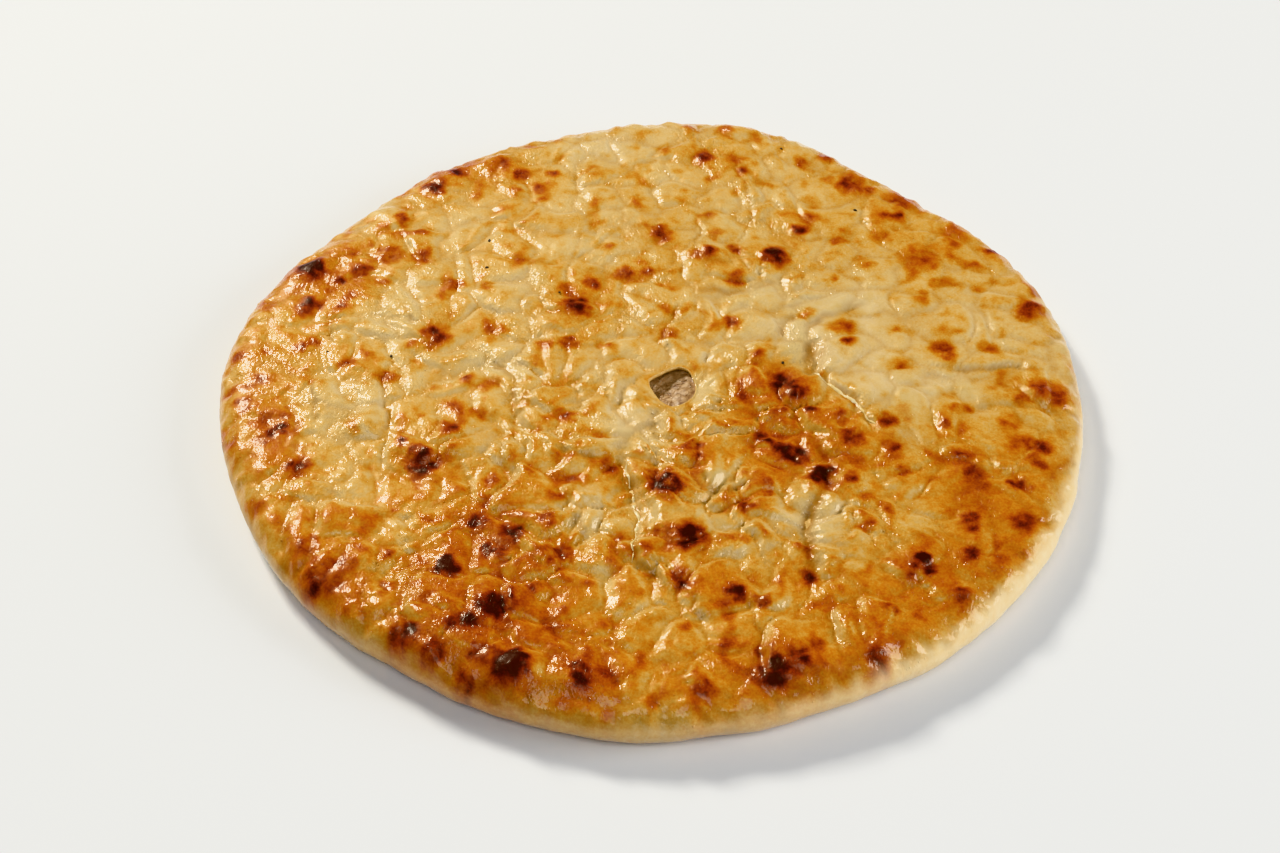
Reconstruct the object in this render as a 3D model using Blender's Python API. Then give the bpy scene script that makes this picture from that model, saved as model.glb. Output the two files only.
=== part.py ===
"""A round flat closed pie: a skin of dough round a filling of chicken and cheese.

The pie lies on z = 0 with the middle of its base at the origin.  The crust is one
skin, base, rounded side and top, with a small steam vent torn in the middle of the
top.  The filling is a disc that runs through the whole pie and shows in the vent.
All lengths are in metres; the tables of folds and swellings are in millimetres, from
the middle of the round that the dough was pressed out to.
"""

import math

import bmesh
import bpy
from mathutils import Vector, geometry, noise

MM = 0.001

# Driving sizes of the whole pie
PIE_RADIUS = 165 * MM
RIM_HEIGHT = 18.0 * MM
CROWN_HEIGHT = 20.5 * MM
SIDE_MIDDLE = 9.0 * MM
TOP_ROUND = 13.0 * MM
BASE_ROUND = 9.0 * MM

# Where the middle of the pressed round lies from the middle of the finished pie
ROUND_CENTRE = (1.8 * MM, -1.7 * MM)

# How the hand-shaped outline leaves a true circle: lobes, height in mm, first crest in degrees
OUTLINE_WAVES = (
    (2, 1.3, 2),
    (3, 1.4, 76),
    (4, 2.3, -3),
    (5, 1.0, 18),
    (6, 0.9, 19),
    (7, 1.1, 19),
    (8, 0.8, 32),
)

# Steam vent, torn in the top a little off the middle
VENT_CENTRE = (8.0 * MM, -8.0 * MM)
VENT_RADIUS = 10.0 * MM
VENT_WAVES = ((2, 1.0, 50), (3, 1.2, 50))
VENT_LIP_DROP = 0.6 * MM

# Thickness of the dough
TOP_CRUST = 3.2 * MM
SIDE_CRUST = 4.0 * MM
BASE_CRUST = 3.0 * MM

# Filling: the gap that parts it from the dough, and how far it sinks under the vent
FILLING_GAP = 0.4 * MM
FILLING_DIP = 3.4 * MM
DIP_REACH = 22.0 * MM

# Puffed places of the top, in mm: x, y, half width, half depth, height
SWELLINGS = (
    (-68, -122, 24, 22, 3.0),
    (-48, -143, 16, 13, 1.6),
    (16, -74, 24, 30, 2.2),
    (52, -138, 18, 15, 2.2),
    (78, -126, 15, 20, 1.4),
    (-126, -84, 24, 18, 1.6),
    (-122, -18, 20, 22, 1.8),
    (-112, 30, 17, 16, 1.6),
    (36, -10, 22, 20, 1.6),
    (80, 2, 17, 30, 1.4),
    (74, -52, 12, 34, 1.2),
    (62, 62, 26, 15, 1.2),
    (-28, -28, 26, 22, 0.9),
    (-50, 68, 40, 34, 0.8),
)

# Creases of the top: half width and depth in mm, then the points that each runs through
CREASES = (
    (6, 1.8, ((-20, -46), (-14, -62), (-13, -80), (-12, -98))),
    (7, 2.6, ((64, -28), (62, -60), (52, -84), (53, -106))),
    (8, 2.4, ((60, -4), (58, 16), (52, 30), (66, 36), (88, 40))),
    (6, 1.4, ((8, 40), (2, 20))),
    (6, 1.3, ((-10, -24), (-10, -42))),
    (6, 1.3, ((40, 44), (22, 48), (10, 62))),
    (6, 1.2, ((-100, -36), (-102, -6), (-100, 40))),
    (6, 1.1, ((-60, 2), (-50, -22), (-56, -46))),
)

# Soft unevenness that is all over the top
ROLL_LENGTH = 34 * MM
ROLL_HEIGHT = 0.9 * MM

# How finely the surfaces are divided
SEGMENTS = 80
TOP_RINGS = 19
SIDE_RINGS = 11
INNER_TOP_RINGS = 9
INNER_SIDE_RINGS = 4
BASE_SHARES = (0.4, 0.75, 1.0)

CRUST_COLOUR = (0.60, 0.31, 0.08, 1.0)
FILLING_COLOUR = (0.50, 0.38, 0.26, 1.0)


def clear_scene():
    """Remove whatever objects the open file holds."""
    for thing in list(bpy.data.objects):
        bpy.data.objects.remove(thing, do_unlink=True)


def make_material(name, colour, roughness):
    """A plain dielectric material."""
    material = bpy.data.materials.new(name)
    material.use_nodes = True
    shader = material.node_tree.nodes["Principled BSDF"]
    shader.inputs["Base Color"].default_value = colour
    shader.inputs["Roughness"].default_value = roughness
    shader.inputs["Metallic"].default_value = 0.0
    return material


def wavy_radius(radius, waves, angle):
    """A circle's radius with some lobes added to it."""
    for lobes, height, crest in waves:
        radius += height * MM * math.cos(lobes * (angle - math.radians(crest)))
    return radius


def side_point(angle, inset):
    """The point of the pie's outline in one direction, moved inwards by inset."""
    radius = wavy_radius(PIE_RADIUS, OUTLINE_WAVES, angle) - inset
    return Vector((radius * math.cos(angle), radius * math.sin(angle)))


def vent_point(angle):
    """The point of the vent's edge in one direction."""
    radius = wavy_radius(VENT_RADIUS, VENT_WAVES, angle)
    return Vector(VENT_CENTRE) + radius * Vector((math.cos(angle), math.sin(angle)))


def crown(place):
    """Height of the top before its unevenness: a low dome."""
    share = min(place.length / PIE_RADIUS, 1.0)
    return RIM_HEIGHT + (CROWN_HEIGHT - RIM_HEIGHT) * (1.0 - share**2)


def crease_distance(place, points):
    """How far a place is from a crease that runs through some points."""
    distances = []
    for start, end in zip(points, points[1:]):
        start = Vector(start) * MM
        end = Vector(end) * MM
        nearest, share = geometry.intersect_point_line(place, start, end)
        nearest = start.lerp(end, min(max(share, 0.0), 1.0))
        distances.append((place - nearest).length)
    return min(distances)


def relief(place):
    """Swellings, creases and soft rolls of the top, as a height."""
    height = ROLL_HEIGHT * noise.noise(Vector((place.x, place.y, 0.0)) / ROLL_LENGTH)
    for x, y, wide, deep, rise in SWELLINGS:
        off_x = (place.x / MM - x) / wide
        off_y = (place.y / MM - y) / deep
        height += rise * MM * math.exp(-(off_x**2) - off_y**2)
    for width, depth, points in CREASES:
        share = crease_distance(place, points) / (width * MM)
        height -= depth * MM * math.exp(-(share**2))
    return height


def ring(points_of_angle):
    """A closed row of points, one for each segment of the pie."""
    return [points_of_angle(2.0 * math.pi * i / SEGMENTS) for i in range(SEGMENTS)]


def base_rings(inset, height):
    """Flat rings of an underside, from near its middle to where its round begins."""
    rings = []
    for share in BASE_SHARES:
        flat = [share * side_point(2.0 * math.pi * i / SEGMENTS, BASE_ROUND + inset)
                for i in range(SEGMENTS)]
        rings.append([Vector((p.x, p.y, height)) for p in flat])
    return rings


def side_ring(turn, inset, base_height, top_drop):
    """One ring round the side; turn goes from -90 degrees, below, to 90 degrees, above."""
    rise = math.sin(turn)
    out = math.cos(turn)

    def point(angle):
        shoulder = side_point(angle, TOP_ROUND + inset)
        top = crown(shoulder) + relief(shoulder) - top_drop
        middle = SIDE_MIDDLE
        if rise < 0.0:
            place = side_point(angle, inset + BASE_ROUND * (1.0 - out))
            height = middle + (middle - base_height) * rise
        else:
            place = side_point(angle, inset + TOP_ROUND * (1.0 - out))
            height = middle + (top - middle) * rise
        return Vector((place.x, place.y, height))

    return ring(point)


def top_ring(share, inset, drop):
    """One ring of a top surface; share 0 is the vent's edge and 1 the shoulder."""

    def point(angle):
        place = vent_point(angle).lerp(side_point(angle, TOP_ROUND + inset), share)
        height = crown(place) + relief(place) - drop
        return Vector((place.x, place.y, height))

    return ring(point)


def inner_rings(gap):
    """Rings of the hollow in the crust, or of the filling when there is a gap.

    They run from the middle of the base, round the side, to the vent's edge.
    """
    inset = SIDE_CRUST + gap
    base_height = BASE_CRUST + gap
    drop = TOP_CRUST + gap
    rings = base_rings(inset, base_height)
    for i in range(1, INNER_SIDE_RINGS):
        turn = math.radians(-90.0 + 180.0 * i / INNER_SIDE_RINGS)
        rings.append(side_ring(turn, inset, base_height, drop))
    for i in range(INNER_TOP_RINGS + 1):
        rings.append(top_ring(1.0 - i / INNER_TOP_RINGS, inset, drop))
    return rings


def crust_outer_rings():
    """Rings of the outside, from the middle of the base to the vent's edge."""
    rings = base_rings(0.0, 0.0)
    for i in range(1, SIDE_RINGS):
        turn = math.radians(-90.0 + 180.0 * i / SIDE_RINGS)
        rings.append(side_ring(turn, 0.0, 0.0, 0.0))
    for i in range(TOP_RINGS):
        rings.append(top_ring(1.0 - i / TOP_RINGS, 0.0, 0.0))
    rings.append(top_ring(0.0, 0.0, VENT_LIP_DROP))
    return rings


def filling_vent_rings(last_ring):
    """Rings that close the filling's top under the vent, towards its middle."""
    middle = Vector((VENT_CENTRE[0], VENT_CENTRE[1], last_ring[0].z))
    return [[p.lerp(middle, share) for p in last_ring] for share in (0.35, 0.7)]


def sink_under_vent(point):
    """Lower a point of the filling's top where it lies near the vent."""
    distance = (Vector((point.x, point.y)) - Vector(VENT_CENTRE)).length
    if point.z < SIDE_MIDDLE or distance > DIP_REACH:
        return point
    share = 0.5 + 0.5 * math.cos(math.pi * distance / DIP_REACH)
    return point - Vector((0.0, 0.0, FILLING_DIP * share))


def add_rings(mesh, rings):
    """Add rows of points as vertices."""
    return [[mesh.verts.new(point) for point in row] for row in rings]


def join_rings(mesh, lower, upper):
    """A band of faces between two rings."""
    for i in range(SEGMENTS):
        after = (i + 1) % SEGMENTS
        mesh.faces.new((lower[i], lower[after], upper[after], upper[i]))


def close_ring(mesh, row, centre, facing_down):
    """A fan of triangles from a ring to its middle."""
    hub = mesh.verts.new(centre)
    for i in range(SEGMENTS):
        after = (i + 1) % SEGMENTS
        corners = (hub, row[after], row[i]) if facing_down else (hub, row[i], row[after])
        mesh.faces.new(corners)


def finish_object(name, mesh, material):
    """Turn the mesh into a smooth shaded object in the scene."""
    bmesh.ops.recalc_face_normals(mesh, faces=mesh.faces)
    data = bpy.data.meshes.new(name)
    mesh.to_mesh(data)
    mesh.free()
    data.shade_smooth()
    data.materials.append(material)
    thing = bpy.data.objects.new(name, data)
    thing.location = (*ROUND_CENTRE, 0.0)
    bpy.context.scene.collection.objects.link(thing)
    return thing


def make_crust():
    """The skin of dough, whose outside and hollow meet at the vent's edge."""
    mesh = bmesh.new()
    outside = add_rings(mesh, crust_outer_rings())
    hollow = add_rings(mesh, inner_rings(0.0))
    for rings in (outside, hollow):
        for lower, upper in zip(rings, rings[1:]):
            join_rings(mesh, lower, upper)
    join_rings(mesh, outside[-1], hollow[-1])
    close_ring(mesh, outside[0], Vector((0.0, 0.0, 0.0)), True)
    close_ring(mesh, hollow[0], Vector((0.0, 0.0, BASE_CRUST)), True)
    return finish_object("crust", mesh, make_material("baked dough", CRUST_COLOUR, 0.3))


def make_filling():
    """The disc of chicken and cheese that runs through the pie."""
    mesh = bmesh.new()
    rows = inner_rings(FILLING_GAP)
    rows += filling_vent_rings(rows[-1])
    rows = [[sink_under_vent(point) for point in row] for row in rows]
    rings = add_rings(mesh, rows)
    for lower, upper in zip(rings, rings[1:]):
        join_rings(mesh, lower, upper)
    close_ring(mesh, rings[0], Vector((0.0, 0.0, BASE_CRUST + FILLING_GAP)), True)
    top_height = sum(point.z for point in rows[-1]) / SEGMENTS
    close_ring(mesh, rings[-1], Vector((*VENT_CENTRE, top_height)), False)
    return finish_object("filling", mesh, make_material("filling", FILLING_COLOUR, 0.5))


def main():
    """Build the pie."""
    clear_scene()
    make_crust()
    make_filling()


main()
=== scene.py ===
"""Looks of a round flat closed pie of chicken and cheese, glossed with melted butter.

Lengths in the tables and in the numpy work are millimetres, measured from the middle of
the round that the dough was pressed out to; meshes are turned to metres at the end.
"""

import math

import bpy
import numpy as np
from bpy.props import FloatProperty, FloatVectorProperty, IntProperty, PointerProperty
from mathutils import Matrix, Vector


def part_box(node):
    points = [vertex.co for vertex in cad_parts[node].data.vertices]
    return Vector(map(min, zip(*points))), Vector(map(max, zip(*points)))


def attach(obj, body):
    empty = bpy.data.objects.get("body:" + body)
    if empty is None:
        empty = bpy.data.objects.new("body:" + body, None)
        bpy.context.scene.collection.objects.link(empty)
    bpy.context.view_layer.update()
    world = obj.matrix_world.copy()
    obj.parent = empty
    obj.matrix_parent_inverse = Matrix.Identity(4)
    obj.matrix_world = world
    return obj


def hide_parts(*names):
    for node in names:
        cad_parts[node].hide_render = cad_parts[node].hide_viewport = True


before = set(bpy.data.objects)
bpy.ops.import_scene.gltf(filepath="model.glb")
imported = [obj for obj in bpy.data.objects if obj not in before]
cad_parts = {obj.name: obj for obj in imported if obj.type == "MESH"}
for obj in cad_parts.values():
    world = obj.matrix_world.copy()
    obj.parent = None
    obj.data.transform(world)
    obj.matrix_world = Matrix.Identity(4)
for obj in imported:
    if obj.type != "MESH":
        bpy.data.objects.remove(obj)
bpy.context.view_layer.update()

bl_info = {
    "name": "Chicken cheese pie",
    "version": (1, 0, 0),
    "blender": (4, 5, 0),
    "location": "3D View > Sidebar > Pie",
    "description": "Makes the finish of a round flat closed pie",
    "category": "Add Mesh",
}

MM = 0.001
TURN = 2.0 * math.pi

# The crust's box, from the solid it is dressed over
CRUST_LOW, CRUST_HIGH = (np.array(corner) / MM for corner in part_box("crust"))

# The middle of the pressed round, from the middle of the finished pie, and its radius in
# a pie of this width
ROUND_CENTRE = np.array((1.8, -1.7))
ROUND_RADIUS = 165.0
ROUND_WIDTH = 335.9

# How the hand-shaped outline leaves a true circle: lobes, height, first crest in degrees
OUTLINE_WAVES = (
    (2, 1.3, 2), (3, 1.4, 76), (4, 2.3, -3), (5, 1.0, 18), (6, 0.9, 19), (7, 1.1, 19),
    (8, 0.8, 32),
)

# Steam vent: its middle, its mean radius and the torn edge as directions and radii
VENT_CENTRE = np.array((6.0, -8.0))
VENT_RADIUS = 9.7
VENT_EDGE = (
    (-165, 7.5), (-133, 7.9), (-107, 9.7), (-86, 11.4), (-68, 10.8), (-46, 10.2), (-14, 10.2),
    (10, 10.6), (34, 11.2), (54, 12.9), (72, 13.0), (89, 10.8), (113, 9.0), (137, 9.0),
    (154, 9.5), (164, 8.9),
)

# Puffed places of the top: x, y, half width, half depth, height
SWELLINGS = (
    (-68, -122, 22, 20, 2.6), (-48, -143, 15, 12, 1.6), (16, -74, 22, 30, 1.6),
    (52, -138, 17, 14, 2.0), (78, -126, 13, 20, 1.4), (-126, -84, 22, 16, 1.4),
    (-122, -18, 18, 20, 1.6), (-112, 30, 16, 15, 1.4), (36, -10, 20, 18, 1.6),
    (80, 2, 14, 22, 1.2), (74, -52, 11, 30, 1.4), (62, 62, 22, 14, 1.0),
    (-28, -28, 22, 18, 0.9), (-50, 68, 38, 32, 0.8), (-86, -30, 12, 10, 1.2),
    (-66, -20, 9, 9, 1.0), (-44, -16, 9, 12, 1.0), (-30, -66, 12, 12, 1.2),
    (-36, 34, 12, 10, 1.0), (112, 70, 14, 10, 0.8), (-150, -34, 10, 16, 0.9),
    (22, 70, 9, 9, 1.0), (50, 66, 9, 8, 1.0), (-84, 22, 11, 8, 0.9), (4, 84, 8, 8, 0.7),
    (36, 122, 12, 14, 0.9), (-24, 112, 12, 16, 0.8), (66, -92, 9, 14, 1.0),
    (92, -96, 11, 11, 0.8), (140, -14, 16, 8, 0.8), (30, -68, 10, 8, 0.9),
)

# Folds of the top: half width and depth of the crease, how far its left side, as one
# goes along it, stands higher, how far back that rise reaches, and the points it runs by
FOLDS = (
    (1.6, 0.9, 1.8, 16, ((-22, -47), (-14, -46), (-10, -54), (-8, -64), (-6, -78),
                         (-8, -88), (-7, -98), (1, -104), (7, -114))),
    (1.4, 0.8, 1.5, 14, ((68, 26), (66, 16), (62, 2), (67, -6), (71, -10), (76, -15),
                         (77, -21), (82, -27), (82, -38))),
    (4.2, 2.4, 0.0, 8, ((64, 22), (61, 12), (61, 2), (57, -4))),
    (2.4, 1.4, 0.9, 9, ((48, 22), (52, 30), (58, 34))),
    (2.0, 0.7, 1.0, 9, ((60, 22), (63, 28), (68, 32), (73, 33), (78, 37), (86, 41))),
    (3.0, 0.7, 0.6, 9, ((54, 50), (48, 52), (40, 49), (30, 46), (18, 48), (8, 58))),
    (3.6, 1.9, 1.6, 12, ((57, -28), (61, -38), (64, -48), (64, -57), (59, -66), (55, -76),
                         (54, -88), (56, -98), (53, -110))),
    (1.8, 1.0, 0.9, 8, ((16, -52), (20, -61), (27, -64), (32, -60), (39, -56))),
    (1.8, 1.2, 0.8, 9, ((12, 41), (7, 32), (3, 22), (2, 14))),
    (2.0, -1.1, 0.0, 8, ((-18, -23), (-14, -28), (-13, -36), (-13, -46))),
    (1.8, -1.0, 0.0, 8, ((-9, -33), (-6, -28), (0, -25), (8, -24))),
    (1.8, -0.7, 0.6, 8, ((-2, -30), (-3, -37), (0, -45))),
    (1.8, 0.9, 0.9, 9, ((-40, -40), (-30, -45), (-22, -47), (-14, -48))),
    (1.8, 0.8, 1.2, 11, ((-104, -38), (-101, -24), (-104, -8), (-108, 2))),
    (2.0, 0.8, 1.0, 11, ((-68, 5), (-58, 3), (-53, -8), (-54, -20), (-48, -32))),
    (1.6, 0.7, 1.2, 10, ((-37, -58), (-32, -68), (-28, -78), (-25, -88))),
    (1.6, 0.6, 1.3, 12, ((-82, -96), (-87, -106), (-89, -118), (-86, -128))),
    (1.6, 0.6, 1.2, 9, ((-48, -88), (-46, -94), (-40, -100))),
    (1.6, 0.7, 1.6, 12, ((31, -108), (34, -120), (36, -132), (35, -146))),
    (1.6, 0.5, 1.3, 10, ((60, -116), (62, -128), (64, -142))),
    (1.4, 0.6, 1.0, 8, ((15, -110), (13, -118), (18, -126))),
    (1.6, 0.6, 1.0, 9, ((-129, 38), (-129, 26), (-126, 14))),
    (1.6, 0.6, 1.0, 9, ((-100, 40), (-97, 30), (-92, 24))),
    (1.6, 0.6, 1.0, 9, ((-134, -2), (-130, -14), (-128, -28))),
    (1.4, 0.6, 0.8, 8, ((36, 138), (35, 128), (39, 116), (41, 100), (41, 86))),
    (1.4, 0.6, 0.8, 8, ((19, 104), (18, 94), (20, 84), (12, 72), (11, 50))),
    (1.4, 0.6, 0.9, 8, ((34, 78), (36, 66), (40, 56))),
    (1.4, 0.5, 0.8, 8, ((-30, 134), (-32, 118), (-29, 102))),
    (1.4, 0.5, 0.8, 8, ((-46, 52), (-46, 42), (-40, 30))),
    (1.6, 0.5, 0.9, 9, ((-94, -112), (-100, -100), (-98, -92))),
    (1.4, 0.5, 0.8, 9, ((92, -100), (93, -106), (98, -112))),
    (1.6, 0.6, 0.9, 9, ((104, 4), (122, 2), (140, 4), (156, 2))),
    (1.6, 0.6, 0.9, 9, ((118, -20), (132, -17), (146, -18), (160, -22))),
    (1.4, 0.5, 0.6, 8, ((-58, -36), (-57, -48), (-50, -56))),
    (1.4, 0.6, 0.8, 8, ((81, -78), (84, -86), (88, -92))),
    (1.4, 0.6, 0.9, 8, ((20, -24), (28, -14), (28, -4), (25, 8))),
)

# Small hollows: x, y, half width, half depth, depth
HOLLOWS = (
    (18, -9, 8, 12, 1.8), (-9, -36, 6, 7, 1.6), (25, -57, 6, 4, 0.8), (57, -72, 5, 6, 1.0),
    (-18, -102, 5, 4, 0.6), (55, 22, 5, 8, 1.0), (122, -14, 2.5, 5, 0.8), (64, 40, 6, 4, 0.6),
    (-62, 8, 10, 5, 0.5),
)

# Toasted blisters of the dough: x, y, radius, how dark the middle is, from 0.5 to 1.15
BLISTERS = (
    (-157, -16, 5, .78), (-143, -31, 4.5, .9), (-133, -50, 6, .88), (-141, -23, 5, .66),
    (-148, -36, 4, .75), (-95, -38, 4, .84), (-87, -48, 7, 1.08), (-78, -31, 5.5, .8),
    (-73, -4, 4.5, .8), (-67, -22, 5, .68), (-34, -24, 5, .72), (-45, -32, 4, .62),
    (-34, -45, 5, .68), (-46, -52, 4, .78), (-60, -57, 5, .8), (-62, -67, 5, .72),
    (-63, -77, 6, .86), (-51, -82, 6.5, .92), (-40, -77, 4, .76), (-74, -99, 5.5, 1.12),
    (-60, -91, 4.5, .9), (-36, -93, 7, .86), (-56, -118, 8, 1.08), (-50, -143, 8, 1.15),
    (-26, -147, 7, .95), (-86, -128, 7, .9), (-76, -135, 6, .82), (-112, -98, 9, .8),
    (-121, -104, 6, .78), (-60, -137, 6, .84), (-66, -147, 5, .76), (-45, -110, 4, .72),
    (-18, -49, 4.5, .86), (1, -59, 7, 1.02), (5, -63, 7, 1.0), (0, -84, 4, .78),
    (-3, -92, 4, .72), (-31, -122, 5, .64), (-10, -93, 5, .7), (-125, -88, 6, .72),
    (-40, -107, 5, .62), (-96, -68, 4, .6), (-54, -97, 5, .68), (-145, -68, 5, .62),
    (49, -8, 8, .98), (53, -14, 7.5, .95), (58, -21, 4.5, .88), (42, -35, 5.5, .95),
    (52, -43, 7, .98), (46, -40, 4, .9), (71, -25, 5.5, .78), (74, -36, 6, .88),
    (88, -27, 5, .82), (88, -41, 4.5, .88), (61, -55, 6, 1.06), (72, -57, 4, .78),
    (14, -41, 5, .92), (16, -48, 4, .8), (33, -70, 5.5, .9), (42, -60, 5, .78),
    (92, -52, 4, .78), (84, -70, 4.5, .72), (12, -87, 7, 1.12), (9, -106, 6.5, .92),
    (28, -111, 5.5, 1.0), (37, -115, 4, .84), (40, -145, 7.5, 1.08), (49, -140, 7, .9),
    (37, -136, 4, .86), (95, -98, 5.5, 1.15), (90, -104, 4.5, .86), (54, -103, 4.5, .96),
    (54, -90, 4, .78), (144, -38, 5.5, .88), (142, -46, 5, .74), (118, -52, 7, .78),
    (134, -58, 4.5, .84), (115, -75, 5.5, .82), (134, -76, 7, .78), (113, -93, 6, .82),
    (107, -111, 5.5, .78), (16, -152, 7, .78), (75, -139, 6, .84), (82, -117, 4, .78),
    (76, -80, 4, .78), (110, -28, 5, .74), (133, -26, 4, .68), (151, -11, 9, .8),
    (140, -14, 5, .72), (117, -18, 4, .68), (-140, 62, 7.5, 1.08), (-120, 61, 5.5, .88),
    (-128, 55, 3.5, .88), (-109, 71, 8, .7), (-96, 70, 5, .78), (-124, 73, 5, .68),
    (-139, 40, 6.5, .88), (-104, 94, 4.5, .84), (-113, 88, 4, .62), (-93, 115, 6.5, .9),
    (-84, 127, 5.5, .84), (-56, 124, 4.5, .78), (-42, 124, 4, .7), (-49, 114, 4, .72),
    (-58, 111, 4, .62), (-66, 130, 8, .66), (-81, 52, 4.5, .74), (-85, 46, 4, .62),
    (-68, 50, 4, .6), (-25, 53, 4.5, .78), (-30, 37, 6.5, 1.0), (-12, 59, 4.5, .84),
    (-3, 60, 3.5, .76), (-86, 21, 7, .88), (-61, 24, 4, .64), (-33, 16, 5, .78),
    (-140, 15, 4.5, .74), (-120, 4, 5, .72), (-104, -2, 5, .8), (-153, -2, 5, .72),
    (-113, 11, 4, .62), (-163, 12, 5, .66), (22, 136, 5.5, .88), (39, 125, 4, .78),
    (32, 155, 5, .64), (84, 118, 7, .84), (105, 107, 9, .68), (50, 68, 6.5, 1.05),
    (61, 86, 4.5, .9), (77, 79, 4, .68), (22, 69, 5.5, .84), (3, 83, 5.5, .84),
    (34, 73, 4, .78), (33, 54, 5.5, .78), (74, 54, 3, .6), (87, 63, 4.5, .6),
    (110, 69, 10, .66), (95, 83, 7, .58), (125, 84, 9, .58), (150, 39, 6.5, .84),
    (107, 44, 5, .64), (131, 52, 3.5, .54), (31, 28, 4.5, .74), (61, 34, 3.5, .68),
    (75, 26, 5, .78), (77, 17, 3.5, .78), (113, 15, 5, .78), (98, 5, 3.5, .68),
    (115, 9, 4, .76), (41, 7, 5, .78), (34, -15, 6, .74), (5, 22, 5, .68),
)

# Where the oven toasted the top more, or less: x, y, half width, half depth, amount
HEAT_ZONES = (
    (-65, -125, 60, 34, 0.19), (30, -146, 60, 18, 0.12), (-110, -90, 34, 26, 0.11),
    (-30, -95, 40, 26, 0.06), (80, -120, 40, 26, 0.18), (-60, -82, 18, 14, 0.10),
    (-58, -120, 26, 16, 0.08), (125, -70, 28, 40, 0.20), (46, -24, 24, 26, 0.13),
    (-75, 125, 34, 20, 0.10), (-135, 60, 20, 24, 0.10), (-152, -20, 16, 30, 0.06),
    (85, 115, 40, 26, 0.02), (120, 84, 24, 20, 0.05), (20, 100, 24, 20, 0.04),
    (146, 20, 22, 40, -0.06), (-110, 0, 36, 40, -0.08), (-40, 95, 60, 36, -0.03),
    (60, 30, 34, 24, -0.18), (100, -2, 26, 20, -0.12), (55, -74, 12, 20, -0.14),
    (5, -75, 18, 10, -0.10), (45, -60, 36, 24, 0.13), (-140, 0, 34, 50, 0.09),
    (-70, -20, 50, 50, 0.04), (-40, -60, 40, 22, 0.06), (0, 0, 60, 50, 0.04),
    (-20, 142, 34, 18, -0.08), (-105, 98, 20, 18, -0.12), (-60, 2, 22, 24, -0.07),
    (-60, 82, 22, 26, 0.06), (40, -64, 36, 20, 0.04), (-20, -146, 24, 14, 0.06),
    (28, -148, 18, 14, -0.04), (-138, -24, 20, 20, 0.05), (75, -105, 24, 24, 0.02),
    (-10, -30, 14, 14, -0.14), (125, 40, 26, 18, -0.05),
)

# Where the lumps of the filling press the dough up more, or less
LUMPY_PLACES = (
    (-20, -70, 70, 50, 0.35), (40, -60, 40, 50, 0.30), (-95, -5, 50, 50, -0.05),
    (-150, 0, 24, 60, -0.25), (20, -10, 40, 30, 0.25), (120, 10, 50, 60, -0.15),
    (-30, 110, 90, 40, -0.15), (90, 70, 50, 50, -0.2), (15, -45, 80, 60, 0.25),
    (-85, -108, 40, 32, 0.35), (-110, -30, 34, 40, 0.15),
)

# Where the skin lies calm, with few puckers: x, y, half width, half depth, amount
CALM_PLACES = (
    (-60, 95, 60, 36, 0.6), (112, 30, 46, 60, 0.5), (-85, -54, 36, 10, 0.6),
    (5, -128, 44, 14, 0.5), (-130, -10, 24, 60, 0.4), (-105, 75, 30, 30, 0.4),
)

# How far in over the shoulder the dough stays cream, and how cream it is: direction in
# degrees, reach, share
CREAM_BORDER = (
    (0, 2.5, 0.9), (20, -1, 0.8), (60, -4, 0.8), (120, -4, 0.8), (170, -3, 0.8), (200, 0, 0.6),
    (225, 2.5, 0.3), (250, 3, 0.25), (275, 4, 0.3), (300, 5.5, 0.7), (322, 7, 1.0),
    (340, 7, 1.0), (360, 2.5, 0.9),
)

# Thin wet dough through which the filling shows: x, y, half width, half depth, amount
THIN_PLACES = (
    (56, 16, 7, 16, 1.0), (70, 38, 16, 6, 0.6), (40, 48, 18, 7, 0.5), (56, -74, 6, 16, 0.9),
    (24, -58, 8, 5, 0.8), (-9, -36, 7, 8, 0.9), (-18, -102, 3, 5, 0.8), (-100, 26, 14, 12, 0.4),
    (-64, 4, 14, 8, 0.5), (-124, -22, 16, 16, 0.35), (12, -78, 22, 6, 0.5),
    (95, -22, 8, 16, 0.5), (30, 90, 10, 16, 0.3), (19, -9, 5, 8, 0.9), (-90, 60, 14, 12, 0.25),
    (118, -6, 8, 10, 0.4), (65, 82, 5, 4, 0.5),
)

# Creases in which melted butter stands as a thread, coloured pale as a painted highlight
# line: the points they run by
BUTTER_LINES = (
    ((-11, -47), (-10, -54), (-8, -63), (-7, -72), (-6, -79), (-8, -88), (-8, -97)),
    ((62, 0), (64, -4), (68, -8), (73, -12), (77, -18), (80, -24), (83, -29)),
)

# Grains of black pepper baked into the dough
PEPPER_PLACES = (
    (-38, 46), (-68, 79), (-68, 61), (-128, 12), (-103, 10), (50, 5), (85, 99), (56, 143),
)


# ---------------------------------------------------------------- numbers and curves


def smooth(low, high, value):
    """Smooth step from 0 at low to 1 at high."""
    share = np.clip((value - low) / (high - low), 0.0, 1.0)
    return share * share * (3.0 - 2.0 * share)


# Keeps the cells of a noise above 0, and brings its swing to about 1
FAR_CELL = 100.0
NOISE_GAIN = 1.6


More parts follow.
